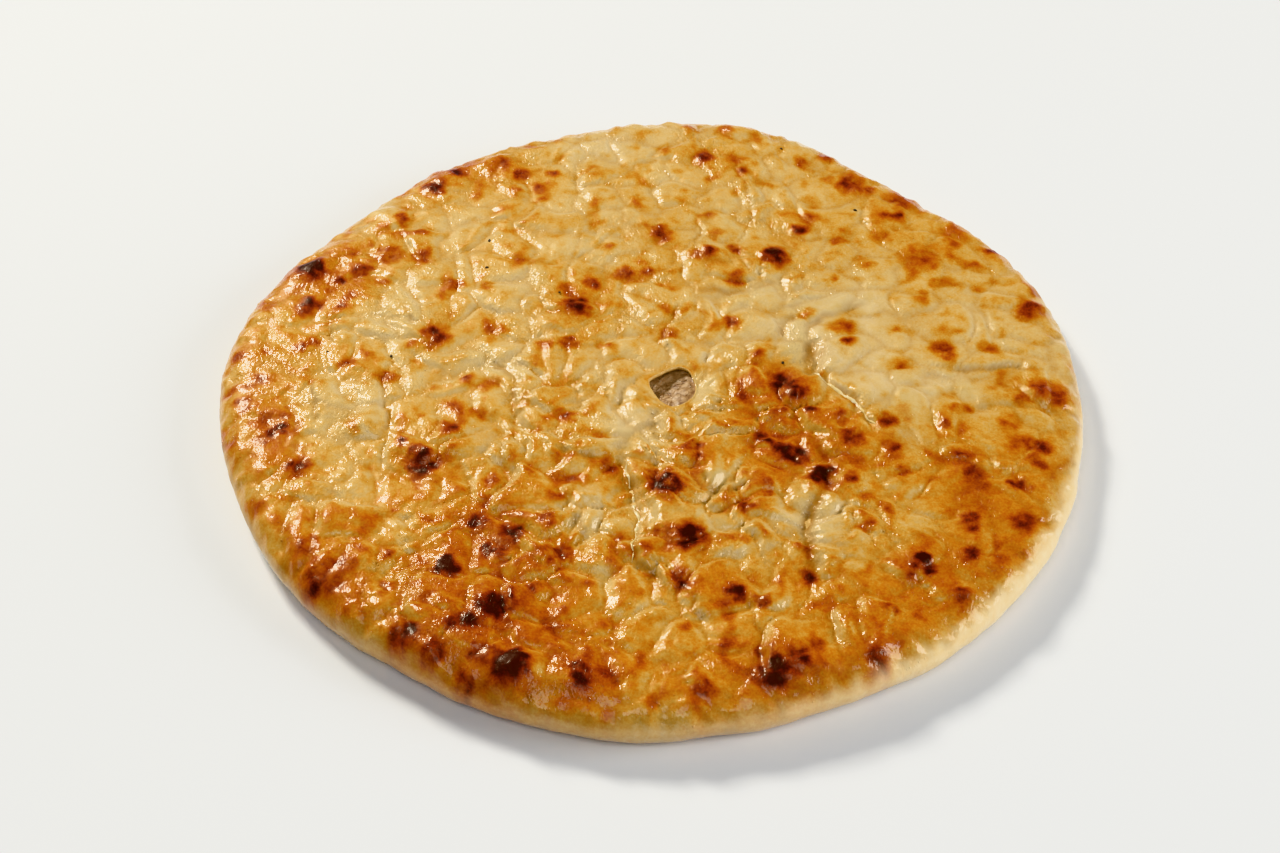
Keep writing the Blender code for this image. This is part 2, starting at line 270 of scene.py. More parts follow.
def lattice_noise(points, size, seed):
    """Gradient noise from about -1 to 1 whose lumps are about as wide as size."""
    rng = np.random.default_rng(seed)
    table = rng.permutation(256)
    table = np.concatenate((table, table, table))
    slopes = rng.normal(size=(256, 3))
    slopes /= np.linalg.norm(slopes, axis=1)[:, None]
    scaled = points / size + FAR_CELL
    cell = np.floor(scaled).astype(int)
    inside = scaled - cell
    ease = inside**3 * (inside * (inside * 6.0 - 15.0) + 10.0)
    total = np.zeros(len(points))
    for corner in np.ndindex(2, 2, 2):
        at = (cell + corner) & 255
        pick = slopes[table[table[table[at[:, 0]] + at[:, 1]] + at[:, 2]]]
        share = np.prod(np.where(corner, ease, 1.0 - ease), axis=1)
        total += share * np.sum(pick * (inside - corner), axis=1)
    return total * NOISE_GAIN


def wavy_radius(radius, waves, angle):
    """A circle's radius with some lobes added to it."""
    total = np.full_like(angle, radius)
    for lobes, height, crest in waves:
        total += height * np.cos(lobes * (angle - math.radians(crest)))
    return total


def directions(angle):
    """Unit vectors in the plane."""
    return np.stack((np.cos(angle), np.sin(angle)), axis=1)


def bearing(place):
    """The angles at which places lie from the middle."""
    return np.arctan2(place[:, 1], place[:, 0])


def on_plane(place, height):
    """Points over places of the plane."""
    return np.column_stack((place, np.broadcast_to(height, len(place))))


def hills(place, table):
    """Sum of soft round hills; a table row ends with half width, half depth and height."""
    total = np.zeros(len(place))
    for x, y, wide, deep, rise in table:
        off = ((place[:, 0] - x) / wide) ** 2 + ((place[:, 1] - y) / deep) ** 2
        total += rise * np.exp(-off)
    return total


def along_fold(place, points):
    """Distance to a fold, side (over 0 on its left) and share of the way along it."""
    nearest = np.full(len(place), np.inf)
    side = np.zeros(len(place))
    way = np.zeros(len(place))
    points = np.array(points, float)
    lengths = np.linalg.norm(np.diff(points, axis=0), axis=1)
    before = 0.0
    for start, end, length in zip(points, points[1:], lengths):
        ahead = (end - start) / length
        off = place - start
        share = np.clip(off @ ahead, 0.0, length)
        apart = off - share[:, None] * ahead
        distance = np.linalg.norm(apart, axis=1)
        closer = distance < nearest
        left = ahead[0] * off[:, 1] - ahead[1] * off[:, 0]
        nearest = np.where(closer, distance, nearest)
        side = np.where(closer, np.sign(left), side)
        way = np.where(closer, (before + share) / lengths.sum(), way)
        before += length
    return nearest, side, way


# How far a fold sways off its points, and the share of it in which each end fades
FOLD_SWAY = 1.5
FOLD_END = 0.2


def fold_relief(place):
    """Height of the creases and steps of the dough, and how near each point is to one;
    that nearness becomes the painted shade of the creases.
    """
    total = np.zeros(len(place))
    near = np.zeros(len(place))
    flat = on_plane(place, 0.0)
    patchy = 1.35 + 0.8 * lattice_noise(flat, 9.0, 61)
    sway = np.column_stack([lattice_noise(flat, 7.0, seed) for seed in (62, 63)])
    place = place + FOLD_SWAY * sway
    for width, depth, rise, reach, points in FOLDS:
        distance, side, way = along_fold(place, points)
        ends = smooth(0.0, FOLD_END, way) * smooth(0.0, FOLD_END, 1.0 - way) * 0.9 + 0.1
        beyond = np.exp(-((distance / reach) ** 2))
        bank = np.where(side > 0.0, 1.0 - np.exp(-distance / (2.0 * width)), 0.0)
        step = rise * bank * beyond * patchy
        groove = np.exp(-((distance / (0.75 * width)) ** 2)) * ends
        groove *= np.clip(patchy - 0.5, 0.2, 1.2)
        total += step * ends - 0.8 * depth * groove
        # Nearness to a crease, kept as painted shade for the colour.
        near = np.maximum(near, groove * np.clip(depth, 0.0, 1.0))
    return total, near


# ---------------------------------------------------------------- the dough's surface


# Puffed pads of dough: each layer's width, seed and rise, how full a pad is before its top
# browns, how wide a crease's painted shade is, and how many pads there are before they repeat
PAD_LAYERS = ((17.0, 61, 2.2), (9.0, 63, 0.8))
BROWNED_FULLNESS = 0.45
CREASE_SHADE_SHARE = 0.22
PAD_CELLS = 64

# A blister's dome: its width and its rise as shares of the blister's radius
DOME_WIDTH = 1.1
DOME_RISE = 0.12


class Dough:
    """Size and relief of the pie's crust, from the settings."""

    def __init__(self, settings):
        box = CRUST_HIGH - CRUST_LOW
        self.radius = ROUND_RADIUS * box[0] / ROUND_WIDTH
        self.rim = settings.rim_height / MM
        self.crown = settings.crown_height / MM
        self.middle = settings.side_middle / MM
        self.top_round = settings.top_round / MM
        self.base_round = settings.base_round / MM
        self.lumps = settings.lump_height / MM
        self.seed = settings.seed

    def side_place(self, angle, inset):
        """Points of the outline, moved inwards by inset."""
        radius = wavy_radius(self.radius, OUTLINE_WAVES, angle) - inset
        return radius[:, None] * directions(angle)

    def vent_place(self, angle, grow=0.0):
        """Points of the vent's torn edge."""
        stops = np.array(VENT_EDGE)
        radius = np.interp(np.degrees(angle), stops[:, 0], stops[:, 1], period=360.0) + grow
        return VENT_CENTRE + radius[:, None] * directions(angle)

    def dome(self, place):
        """Height of the top before its unevenness."""
        share = np.minimum(np.linalg.norm(place, axis=1) / self.radius, 1.0)
        return self.rim + (self.crown - self.rim) * (1.0 - share**2)

    def lump(self, place, size, seed):
        """One layer of lumps over the plane."""
        return lattice_noise(on_plane(place, 0.0), size, self.seed + seed)

    def coarse_relief(self, place):
        """Swellings, folds and rolls: what a hand would feel."""
        total = hills(place, SWELLINGS) + fold_relief(place)[0]
        total -= hills(place, HOLLOWS)
        return total + 0.8 * self.lumps * self.lump(place, 34.0, 1)

    def hand_height(self, place):
        """Height of the top before its fine unevenness."""
        return self.dome(place) + self.coarse_relief(place)

    def bent(self, place, reach, size, seed):
        """Places pushed about, so that what is drawn there comes out ragged."""
        push = np.column_stack((self.lump(place, size, seed), self.lump(place, size, seed + 1)))
        return place + reach * push

    def pads(self, place, size, seed):
        """Puffed pads packed side by side: how full each is, and how far from a crease."""
        rng = np.random.default_rng(self.seed + seed)
        jitter = 0.5 + 0.8 * (rng.random((PAD_CELLS, PAD_CELLS, 2)) - 0.5)
        fullness = rng.random((PAD_CELLS, PAD_CELLS))
        scaled = place / size + FAR_CELL
        cell = np.floor(scaled).astype(int)
        nearest = np.full(len(place), np.inf)
        second = nearest.copy()
        full = np.zeros(len(place))
        for step in np.ndindex(3, 3):
            at = cell + step - 1
            x, y = (at % PAD_CELLS).T
            distance = np.linalg.norm(scaled - at - jitter[x, y], axis=1)
            closer = distance < nearest
            second = np.where(closer, nearest, np.minimum(second, distance))
            nearest = np.where(closer, distance, nearest)
            full = np.where(closer, fullness[x, y], full)
        return full, np.clip((second - nearest) / 0.8, 0.0, 1.0)

    def pillows(self, place):
        """Puffed pads of dough: their height, how toasted each is, and the painted shade
        of the creases between them."""
        bent = self.bent(place, 9.0, 26.0, 7)
        height = 1.8 * np.abs(self.lump(bent, 26.0, 2)) ** 0.66 - 1.8
        bent = self.bent(bent, 4.0, 11.0, 9)
        tops = np.zeros(len(place))
        creases = np.zeros(len(place))
        for size, seed, rise in PAD_LAYERS:
            full, edge = self.pads(bent, size, seed)
            dome = (1.0 - (1.0 - edge) ** 2) * (0.4 + 0.6 * full)
            height += rise * dome
            tops += dome * np.clip(full - BROWNED_FULLNESS, 0.0, 1.0)
            # Painted shade: a band along each crease between pads, darkened in the colour.
            creases = np.maximum(creases, 0.2 * rise * np.exp(-edge / CREASE_SHADE_SHARE))
        return height, tops, creases

    def fine_relief(self, place):
        """Lumps of the filling under the dough, puckers and blisters."""
        rough = 0.75 + hills(place, LUMPY_PLACES)
        total = self.pillows(place)[0] + 0.36 * self.lump(place, 4.6, 4)
        total += 0.10 * self.lump(place, 2.6, 5)
        total *= self.lumps * rough
        ragged = self.bent(place, 1.8, 5.0, 11)
        for x, y, radius, dark in BLISTERS:
            off = np.linalg.norm(ragged - (x, y), axis=1) / (radius * DOME_WIDTH)
            total += DOME_RISE * radius * dark * np.exp(-(off**2.2))
        return total


def build_web(rings):
    """Triangles between rings of any number of points, with a pole at each end."""
    triangles = []
    start = 0
    for lower, upper in zip(rings, rings[1:]):
        n, m = len(lower), len(upper)
        a, b = start, start + n
        i = j = 0
        while i < n or j < m:
            if j >= m or (i < n and (i + 1) * m <= (j + 1) * n):
                triangles.append((a + i % n, a + (i + 1) % n, b + j % m))
                i += 1
            else:
                triangles.append((a + i % n, b + (j + 1) % m, b + j % m))
                j += 1
        start += n
    return [face for face in triangles if len(set(face)) == 3]


def make_mesh(name, points, edges=(), faces=()):
    """A mesh from points in millimetres about the middle of the round."""
    mesh = bpy.data.meshes.new(name)
    mesh.from_pydata(((points + (*ROUND_CENTRE, 0.0)) * MM).tolist(), edges, faces)
    return mesh


def new_object(name, data):
    """An object in the scene, at the origin."""
    thing = bpy.data.objects.new(name, data)
    bpy.context.scene.collection.objects.link(thing)
    return thing


def mesh_object(name, points, faces, material):
    """A smooth object with one material."""
    mesh = make_mesh(name, points, faces=faces)
    mesh.shade_smooth()
    mesh.materials.append(material)
    return new_object(name, mesh)


def store(mesh, name, values):
    """Keep one number for each point of a mesh."""
    attribute = mesh.attributes.new(name, "FLOAT", "POINT")
    attribute.data.foreach_set("value", np.asarray(values, np.float32))


# ---------------------------------------------------------------- the crust


# Zones of the crust's surface, in the order that its rings run
BASE, SIDE, TOP, LIP, HOLLOW = range(5)

# Thickness of the dough, and how the vent's lip rounds over: millimetres in from the torn
# edge and down from the top
TOP_CRUST = 3.2
SIDE_CRUST = 4.0
BASE_CRUST = 3.0
LIP_STEPS = ((0.45, 0.35), (0.7, 1.0), (0.5, 1.7), (0.1, 2.4))

# Rings up the side, spacing of the points of the base and the hollow, points of a ring of
# the lip and the hollow, and the last rings of the base with their share and points
SIDE_RINGS = 25
BASE_SPACING = 6.5
HOLLOW_SPACING = 8.0
LIP_POINTS = 60
HOLLOW_POINTS = 120
BASE_EDGE = [(0.975, 300), (0.988, 520)]

# How toasted even dough is, what the heat and the tops of the pads add, and slow waves of
# toast as widths, seeds and shares
EVEN_TOAST = 0.24
HEAT_TOAST = 1.2
TOPS_TOAST = 0.22
TOAST_WAVES = ((30.0, 21, 0.10), (15.0, 22, 0.08))

# Round a blister: how wide its char is and how steeply it ends, how wide the warm brown
# round it is beside that, how brown that can get and how near to it the dough comes
CHAR_WIDTH = 1.22
CHAR_EDGE = 2.5
WARM_WIDTH = 1.7
WARM_TOAST = 0.84
WARM_SHARE = 0.66

# How far up the cream border counts at the shoulder, and at the end of the side's rings
SHOULDER_UP = 3.0
SIDE_UP = 16.0

# The crust's flat map: the middle of the outside, the base and the hollow on it, and the
# width that a millimetre of each has there
MAP_PARTS = ((0.41, 0.00214), (0.835, 0.00098), (np.array((0.08, 0.92)), 0.00045))


def ring_angles(count, index):
    """Evenly spaced angles, staggered on every other ring."""
    return (np.arange(count) + 0.5 * (index % 2)) * TURN / count


def crust_rings(dough, spacing):
    """Rings of the crust from the middle of its base, round the outside, in at the vent
    and round its hollow; each is its points, its turn up the side and its zone."""
    rings = []

    def add(points, turn, zone):
        rings.append((points, np.full(len(points), turn), np.full(len(points), zone)))

    flat = dough.radius - dough.base_round
    base = [(share, round(TURN * flat * share / BASE_SPACING))
            for share in np.linspace(0.04, 0.96, 24)]
    add(np.zeros((1, 3)), -90.0, BASE)
    for index, (share, count) in enumerate(base + BASE_EDGE):
        place = share * dough.side_place(ring_angles(count, index), dough.base_round)
        add(on_plane(place, 0.0), -90.0, BASE)
    count = round(TURN * dough.radius / (spacing * 1.3))
    for index, turn in enumerate(np.linspace(-90.0, 90.0, SIDE_RINGS)[:-1]):
        add(side_ring(dough, ring_angles(count, index), math.radians(turn)), turn, SIDE)
    depth = dough.radius - dough.top_round - VENT_RADIUS
    for index, share in enumerate(np.linspace(1.0, 0.0, round(depth / spacing))):
        radius = VENT_RADIUS + share * depth
        angle = ring_angles(round(TURN * radius / spacing), index)
        add(top_ring(dough, angle, share), 90.0, TOP)
    for index, (inwards, drop) in enumerate(LIP_STEPS):
        place = dough.vent_place(ring_angles(LIP_POINTS, index), -inwards)
        add(on_plane(place, dough.hand_height(place) - drop), 90.0, LIP)
    for index, share in enumerate(np.linspace(0.04, 1.0, 20)):
        radius = VENT_RADIUS + share * (depth - SIDE_CRUST)
        angle = ring_angles(round(TURN * radius / HOLLOW_SPACING), index)
        add(hollow_ring(dough, angle, share), 90.0, HOLLOW)
    for index, turn in enumerate(np.linspace(90.0, -90.0, 7)[1:]):
        angle = ring_angles(HOLLOW_POINTS, index)
        add(side_ring(dough, angle, math.radians(turn), SIDE_CRUST, BASE_CRUST, TOP_CRUST),
            turn, HOLLOW)
    for share in (0.75, 0.5, 0.25):
        angle = ring_angles(round(HOLLOW_POINTS * share), 0)
        add(on_plane(share * dough.side_place(angle, dough.base_round), BASE_CRUST), -90.0,
            HOLLOW)
    add(np.array(((0.0, 0.0, BASE_CRUST),)), -90.0, HOLLOW)
    return rings


def side_ring(dough, angle, turn, inset=0.0, base=0.0, drop=0.0):
    """A ring round the side, from below at -90 degrees to the shoulder at 90."""
    rise, out = math.sin(turn), math.cos(turn)
    if rise < 0.0:
        place = dough.side_place(angle, inset + dough.base_round * (1.0 - out))
        return on_plane(place, dough.middle + (dough.middle - base) * rise)
    place = dough.side_place(angle, inset + dough.top_round * (1.0 - out))
    height = dough.middle + (dough.dome(place) - drop - dough.middle) * rise
    relief = dough.coarse_relief(place)
    if drop == 0.0:
        relief += dough.fine_relief(place)
    return on_plane(place, height + relief * smooth(0.0, 0.9, rise) ** 2)


def top_ring(dough, angle, share):
    """A ring of the top; share 0 is the vent's edge and 1 the shoulder."""
    vent = dough.vent_place(angle)
    place = vent + share * (dough.side_place(angle, dough.top_round) - vent)
    height = dough.hand_height(place)
    edge = np.linalg.norm(place - vent, axis=1)
    height += dough.fine_relief(place) * smooth(-1.5, 6.0, edge)
    sunk = 0.8 * np.clip(np.cos(angle - 0.3), 0.0, 1.0) * np.exp(-((edge / 5.0) ** 2))
    return on_plane(place, height - sunk - 0.35 * np.exp(-((edge / 1.2) ** 2)))


def hollow_ring(dough, angle, share):
    """A ring of the roof of the hollow that the filling fills."""
    vent = dough.vent_place(angle)
    place = vent + share * (dough.side_place(angle, dough.top_round + SIDE_CRUST) - vent)
    return on_plane(place, dough.hand_height(place) - TOP_CRUST)


def cream_border(angle):
    """How far up and in over the shoulder the dough stays cream, and how cream it is,
    in each direction."""
    degrees = np.degrees(angle) % 360.0
    stops, reach, share = np.array(CREAM_BORDER).T
    return np.interp(degrees, stops, reach), np.interp(degrees, stops, share)


def steepness(points, faces):
    """How far each point's normal leans: 0 where the surface is level."""
    faces = np.array(faces)
    corners = points[faces]
    normals = np.cross(corners[:, 1] - corners[:, 0], corners[:, 2] - corners[:, 0])
    total = np.zeros((len(points), 3))
    for corner in range(3):
        for axis in range(3):
            total[:, axis] += np.bincount(faces[:, corner], normals[:, axis], len(points))
    return 1.0 - np.abs(total[:, 2]) / np.maximum(np.linalg.norm(total, axis=1), 1e-9)


def oven_toast(dough, place, tops):
    """How toasted the dough is before its rim and its blisters."""
    toast = EVEN_TOAST + HEAT_TOAST * hills(place, HEAT_ZONES) + TOPS_TOAST * tops
    for size, seed, share in TOAST_WAVES:
        toast += share * dough.lump(place, size, seed)
    freckles = dough.lump(dough.bent(place, 2.0, 7.0, 28), 10.0, 23)
    toast += 0.65 * np.clip(freckles - 0.20, 0.0, 1.0)
    return toast + 0.30 * np.clip(dough.lump(place, 5.2, 24) - 0.12, 0.0, 1.0)


def blister_heat(dough, place):
    """How charred the blisters leave each place, and how warm a brown lies round them."""
    ragged = dough.bent(dough.bent(place, 2.2, 9.0, 25), 0.9, 3.5, 30)
    patchy = 1.0 + 0.30 * dough.lump(place, 3.6, 33)
    char = np.zeros(len(place))
    warm = np.zeros(len(place))
    for x, y, radius, dark in BLISTERS:
        off = np.linalg.norm(ragged - (x, y), axis=1) / (CHAR_WIDTH * radius)
        char = np.maximum(char, (dark - 0.03) * patchy * np.exp(-(off**CHAR_EDGE)))
        warm += (1.0 - warm) * (dark - 0.50) * np.exp(-((off / WARM_WIDTH) ** 2))
    return char, warm


def crust_looks(dough, points, turn, zone, lean):
    """How toasted, thin, cream and calm the dough is at each point, and the painted shade
    of its creases.
    """
    place = points[:, :2]
    angle = bearing(place)
    inwards = wavy_radius(dough.radius, OUTLINE_WAVES, angle) - np.linalg.norm(place, axis=1)
    up = np.where(zone >= TOP, inwards + SHOULDER_UP, SIDE_UP * turn / 90.0)

    streak = np.column_stack((directions(angle) * 48.0, up * 0.25))
    reach, most_cream = cream_border(angle)
    reach = reach + 2.4 * lattice_noise(streak, 1.6, 31) + 2.0 * lattice_noise(streak, 6.0, 32)

    _, tops, creases = dough.pillows(place)
    toast = oven_toast(dough, place, tops)
    shoulder = 1.0 - smooth(0.0, 7.0, up - reach)
    shoulder = np.maximum(shoulder, 0.8 * (1.0 - smooth(1.0, 8.0, up)))
    toast -= 0.85 * shoulder * np.clip(toast - 0.34 + 0.12 * most_cream, 0.0, 1.0)
    char, warm = blister_heat(dough, place)
    toast += WARM_SHARE * warm * np.clip(WARM_TOAST - toast, 0.0, 1.0)
    toast = np.maximum(toast, char + 0.1 * toast)
    toast -= 1.3 * np.clip(lean, 0.0, 0.2) * (zone == TOP)
    thin = hills(place, THIN_PLACES) * (1.0 + 0.5 * dough.lump(place, 9.0, 27))
    thin = np.clip(thin, 0.0, 1.0)
    thin *= 1.0 - np.clip(1.5 * char, 0.0, 1.0)
    toast -= 0.22 * thin

    cream = most_cream * (1.0 - smooth(-3.5, 3.5, up - reach))
    cream *= 1.0 - smooth(-60.0, -88.0, turn)
    toast = np.where(zone == BASE, 0.52 + 0.25 * dough.lump(place, 16.0, 28), toast)
    inner = zone >= LIP
    # Painted shade: how dark the creases of folds and pads are painted; none in the vent or on
    # the base.
    crease = np.maximum(fold_relief(place)[1], creases)
    crease = np.where(inner | (zone == BASE), 0.0, crease)
    calm = np.clip(1.0 - smooth(3.0, 20.0, up) + hills(place, CALM_PLACES), 0.0, 1.0)
    return {"toast": np.where(inner, 0.35, toast), "thin": np.where(inner, 0.4, thin),
            "cream": np.where(inner, 0.2, cream), "crease": crease, "calm": calm}


def bake_map(points, turn, zone, dough):
    """Each point's place on the crust's own flat map: the outside opened out round the
    top, with the base and the hollow as small rounds beside it."""
    place = points[:, :2]
    angle = bearing(place)
    radius = np.linalg.norm(place, axis=1)
    shoulder = wavy_radius(dough.radius - dough.top_round, OUTLINE_WAVES, angle)
    below = 15.0 * (1.0 - turn / 90.0)
    opened = np.where(zone == SIDE, shoulder + below, radius)[:, None] * directions(angle)
    outside, base, hollow = (middle + spread * scale for (middle, scale), spread
                             in zip(MAP_PARTS, (opened, place, place)))
    within = np.where((zone == HOLLOW)[:, None], hollow, outside)
    return np.where((zone == BASE)[:, None], base, within)


def make_crust(settings, material):
    """The whole skin of dough as one closed surface."""
    dough = Dough(settings)
    rings = crust_rings(dough, settings.spacing / MM)
    points, turn, zone = (np.concatenate(parts) for parts in zip(*rings))
    faces = build_web([ring[0] for ring in rings])
    points = pucker_side(dough, points, turn, zone)
    looks = crust_looks(dough, points, turn, zone, steepness(points, faces))
    crust = mesh_object("buttered_crust", points, faces, material)
    for name, values in looks.items():
        store(crust.data, name, values)
    flat = bake_map(points, turn, zone, dough)
    layer = crust.data.uv_layers.new(name="OFBake")
    corners = np.empty(len(crust.data.loops), int)
    crust.data.loops.foreach_get("vertex_index", corners)
    layer.data.foreach_set("uv", flat[corners].astype(np.float32).ravel())
    return crust


def pucker_side(dough, points, turn, zone):
    """Small lumps and upright wrinkles of the soft side."""
    angle = bearing(points)
    out = np.column_stack((directions(angle) * np.cos(np.radians(turn))[:, None],
                           np.sin(np.radians(turn))))
    amount = 0.9 * lattice_noise(points, 22.0, 41) + 0.35 * lattice_noise(points, 7.0, 42)
    around = np.column_stack((directions(angle) * 48.0, turn * 0.012))
    amount += 0.45 * lattice_noise(around, 1.3, 43) * smooth(-20.0, 40.0, turn)
    amount += 0.8 * lattice_noise(points, 5.0, 44) * smooth(0.0, 40.0, turn)
    belly = np.where(zone == SIDE, np.clip(np.cos(np.radians(turn)) * 1.3, 0.0, 1.0), 0.0)
    return points + out * (amount * belly)[:, None]


# ---------------------------------------------------------------- materials


def linear(hex_colour):
    """An sRGB hex colour as linear numbers."""
    parts = [int(hex_colour[i:i + 2], 16) / 255.0 for i in (1, 3, 5)]
    turned = [c / 12.92 if c <= 0.04045 else ((c + 0.055) / 1.055) ** 2.4 for c in parts]
    return (*turned, 1.0)


def per(size):
    """Texture scale for a pattern whose parts are this many millimetres wide."""
    return 1.0 / (size * MM)


def feed(tree, node, inputs):
    """Give each socket of a node its value, or link what feeds it: an output, or a node
    that stands for the first of its outputs in use."""
    for socket, value in inputs.items():
        if isinstance(value, bpy.types.Node):
            value = next(output for output in value.outputs if output.enabled)
        if isinstance(value, bpy.types.NodeSocket):
            tree.links.new(value, node.inputs[socket])
        else:
            node.inputs[socket].default_value = value


def add_node(tree, kind, inputs=None, **settings):
    """Add one node; inputs takes what each of its sockets is fed."""
    node = tree.nodes.new(kind)
    for name, value in settings.items():
        setattr(node, name, value)
    feed(tree, node, inputs or {})
    return node


def set_ramp(node, stops):
    """Give a colour ramp its stops."""
    ramp = node.color_ramp
    while len(ramp.elements) > 1:
        ramp.elements.remove(ramp.elements[-1])
    ramp.elements[0].position, ramp.elements[0].color = stops[0][0], linear(stops[0][1])
    for place, colour in stops[1:]:
        ramp.elements.new(place).color = linear(colour)


# Refraction of melted butter
FAT_IOR = 1.46

# Toast stops, from raw to burnt
TOAST_STOPS = (
    (0.0, "#DCC498"), (0.20, "#D6B67C"), (0.35, "#D0A054"), (0.48, "#C37D2E"),
    (0.62, "#B0561E"), (0.76, "#8C331D"), (0.89, "#5A1E1A"), (1.0, "#361210"),
)


def new_material(name):
    """A node material, its tree, its shader and the place that its textures lie by."""
    material = bpy.data.materials.new(name)
    material.use_nodes = True
    tree = material.node_tree
    place = add_node(tree, "ShaderNodeTexCoord").outputs["Object"]
    return material, tree, tree.nodes["Principled BSDF"], place


def dough_colour(tree, place, toast, thin, cream, crease):
    """Browns by how toasted the dough is, greyer where it is thin, cream on the side, with
    painted shade darkening the creases.
    """
    mottle = add_node(tree, "ShaderNodeTexNoise", {
        "Vector": place, "Scale": per(2.4), "Detail": 2.0, "Roughness": 0.55})
    speck = add_node(tree, "ShaderNodeTexNoise", {
        "Vector": place, "Scale": per(0.9), "Detail": 1.0})
    shade = add_node(tree, "ShaderNodeMath", {
        0: mottle, 1: 0.22, 2: toast}, operation="MULTIPLY_ADD")
    shade = add_node(tree, "ShaderNodeMath", {
        0: speck, 1: 0.22, 2: shade}, operation="MULTIPLY_ADD")
    shade = add_node(tree, "ShaderNodeMath", {0: shade, 1: 0.22}, operation="SUBTRACT")
    browning = add_node(tree, "ShaderNodeValToRGB", {"Fac": shade})
    set_ramp(browning, TOAST_STOPS)
    paleness = add_node(tree, "ShaderNodeMath", {
        0: thin, 1: 0.5}, operation="MULTIPLY", use_clamp=True)
    wet_and_shade = add_node(tree, "ShaderNodeMix", {
        0: paleness, 6: browning, 7: linear("#C7AC72")}, data_type="RGBA")
    # Painted shade: a darker brown multiplied in along the creases, where less light falls.
    wet_and_shade = add_node(tree, "ShaderNodeMix", {
        0: crease, 6: wet_and_shade, 7: linear("#C8A880")}, data_type="RGBA", blend_type="MULTIPLY")
    raw = add_node(tree, "ShaderNodeMix", {
        0: mottle, 6: linear("#FCE9C4"), 7: linear("#F2D298")}, data_type="RGBA")
    return add_node(tree, "ShaderNodeMix", {0: cream, 6: wet_and_shade, 7: raw}, data_type="RGBA")


def dough_bumps(tree, place, toast, calm):
    """Puckers and pores of the skin, in patches and weaker on dry and on calm dough."""
    drawn = add_node(tree, "ShaderNodeMapping", {
        "Vector": place, "Rotation": (0.0, 0.0, 0.25), "Scale": (1.0, 0.65, 0.8)})
    pucker = add_node(tree, "ShaderNodeTexNoise", {
        "Vector": drawn, "Scale": per(1.5), "Detail": 1.5, "Roughness": 0.5, "Distortion": 0.5})
    pore = add_node(tree, "ShaderNodeTexNoise", {
        "Vector": place, "Scale": per(0.65), "Detail": 1.0})
    patches = add_node(tree, "ShaderNodeTexNoise", {
        "Vector": place, "Scale": per(18.0), "Detail": 1.5})
    wrinkled = add_node(tree, "ShaderNodeMapRange", {
        "Value": patches, "From Min": 0.40, "From Max": 0.60, "To Min": 0.3})
    tight = add_node(tree, "ShaderNodeMapRange", {
        "Value": toast, "From Min": 0.7, "From Max": 0.95, "To Min": 1.0, "To Max": 0.8})
    wrinkled = add_node(tree, "ShaderNodeMath", {0: wrinkled, 1: tight}, operation="MULTIPLY")
    lively = add_node(tree, "ShaderNodeMath", {
        0: calm, 1: -0.65, 2: 1.0}, operation="MULTIPLY_ADD")
    wrinkled = add_node(tree, "ShaderNodeMath", {0: wrinkled, 1: lively}, operation="MULTIPLY")
    pucker = add_node(tree, "ShaderNodeMath", {0: pucker, 1: wrinkled}, operation="MULTIPLY")
    bumps = add_node(tree, "ShaderNodeBump", {
        "Strength": 1.0, "Distance": 0.62 * MM, "Height": pucker})
    pore = add_node(tree, "ShaderNodeMath", {0: pore, 1: wrinkled}, operation="MULTIPLY")
    return add_node(tree, "ShaderNodeBump", {
        "Strength": 1.0, "Distance": 0.07 * MM, "Height": pore, "Normal": bumps})


def butter_film(tree, place, toast, cream):
    """How thick the film of butter lies, in pools, and how little of it is left where the
    dough is burnt."""
    film = add_node(tree, "ShaderNodeMath", {
        0: cream, 1: -0.15, 2: 0.68}, operation="MULTIPLY_ADD", use_clamp=True)
    pools = add_node(tree, "ShaderNodeTexNoise", {
        "Vector": place, "Scale": per(16.0), "Detail": 1.0})
    pools = add_node(tree, "ShaderNodeMapRange", {
        "Value": pools, "From Min": 0.4, "From Max": 0.56, "To Min": 0.45})
    film = add_node(tree, "ShaderNodeMath", {0: film, 1: pools}, operation="MULTIPLY")
    dry = add_node(tree, "ShaderNodeMapRange", {
        "Value": toast, "From Min": 0.66, "From Max": 0.94, "To Min": 1.0, "To Max": 0.14})
    film = add_node(tree, "ShaderNodeMath", {0: film, 1: dry}, operation="MULTIPLY")
    return film, dry


def baked_dough():
    """Baked yeast dough brushed with butter: browns run from straw through amber to
    near black, and the clear fat film breaks the light up over fine puckers."""
    material, tree, shader, place = new_material("baked dough brushed with butter")
    # crease carries the painted shade of the creases into the colour.
    toast, thin, cream, crease, calm = (
        add_node(tree, "ShaderNodeAttribute", attribute_name=name).outputs["Fac"]
        for name in ("toast", "thin", "cream", "crease", "calm"))
    colour = dough_colour(tree, place, toast, thin, cream, crease)
    bumps = dough_bumps(tree, place, toast, calm)
    film, dry = butter_film(tree, place, toast, cream)
    glow = add_node(tree, "ShaderNodeMix", {
        0: dry, 6: linear("#6A3030"), 7: linear("#FFDE9C")}, data_type="RGBA")
    feed(tree, shader, {
        "Base Color": colour, "Roughness": 0.4, "IOR": FAT_IOR, "Specular Tint": glow,
        "Normal": bumps, "Coat Weight": film, "Coat Roughness": 0.05, "Coat IOR": FAT_IOR,
        "Coat Normal": bumps})
    return material


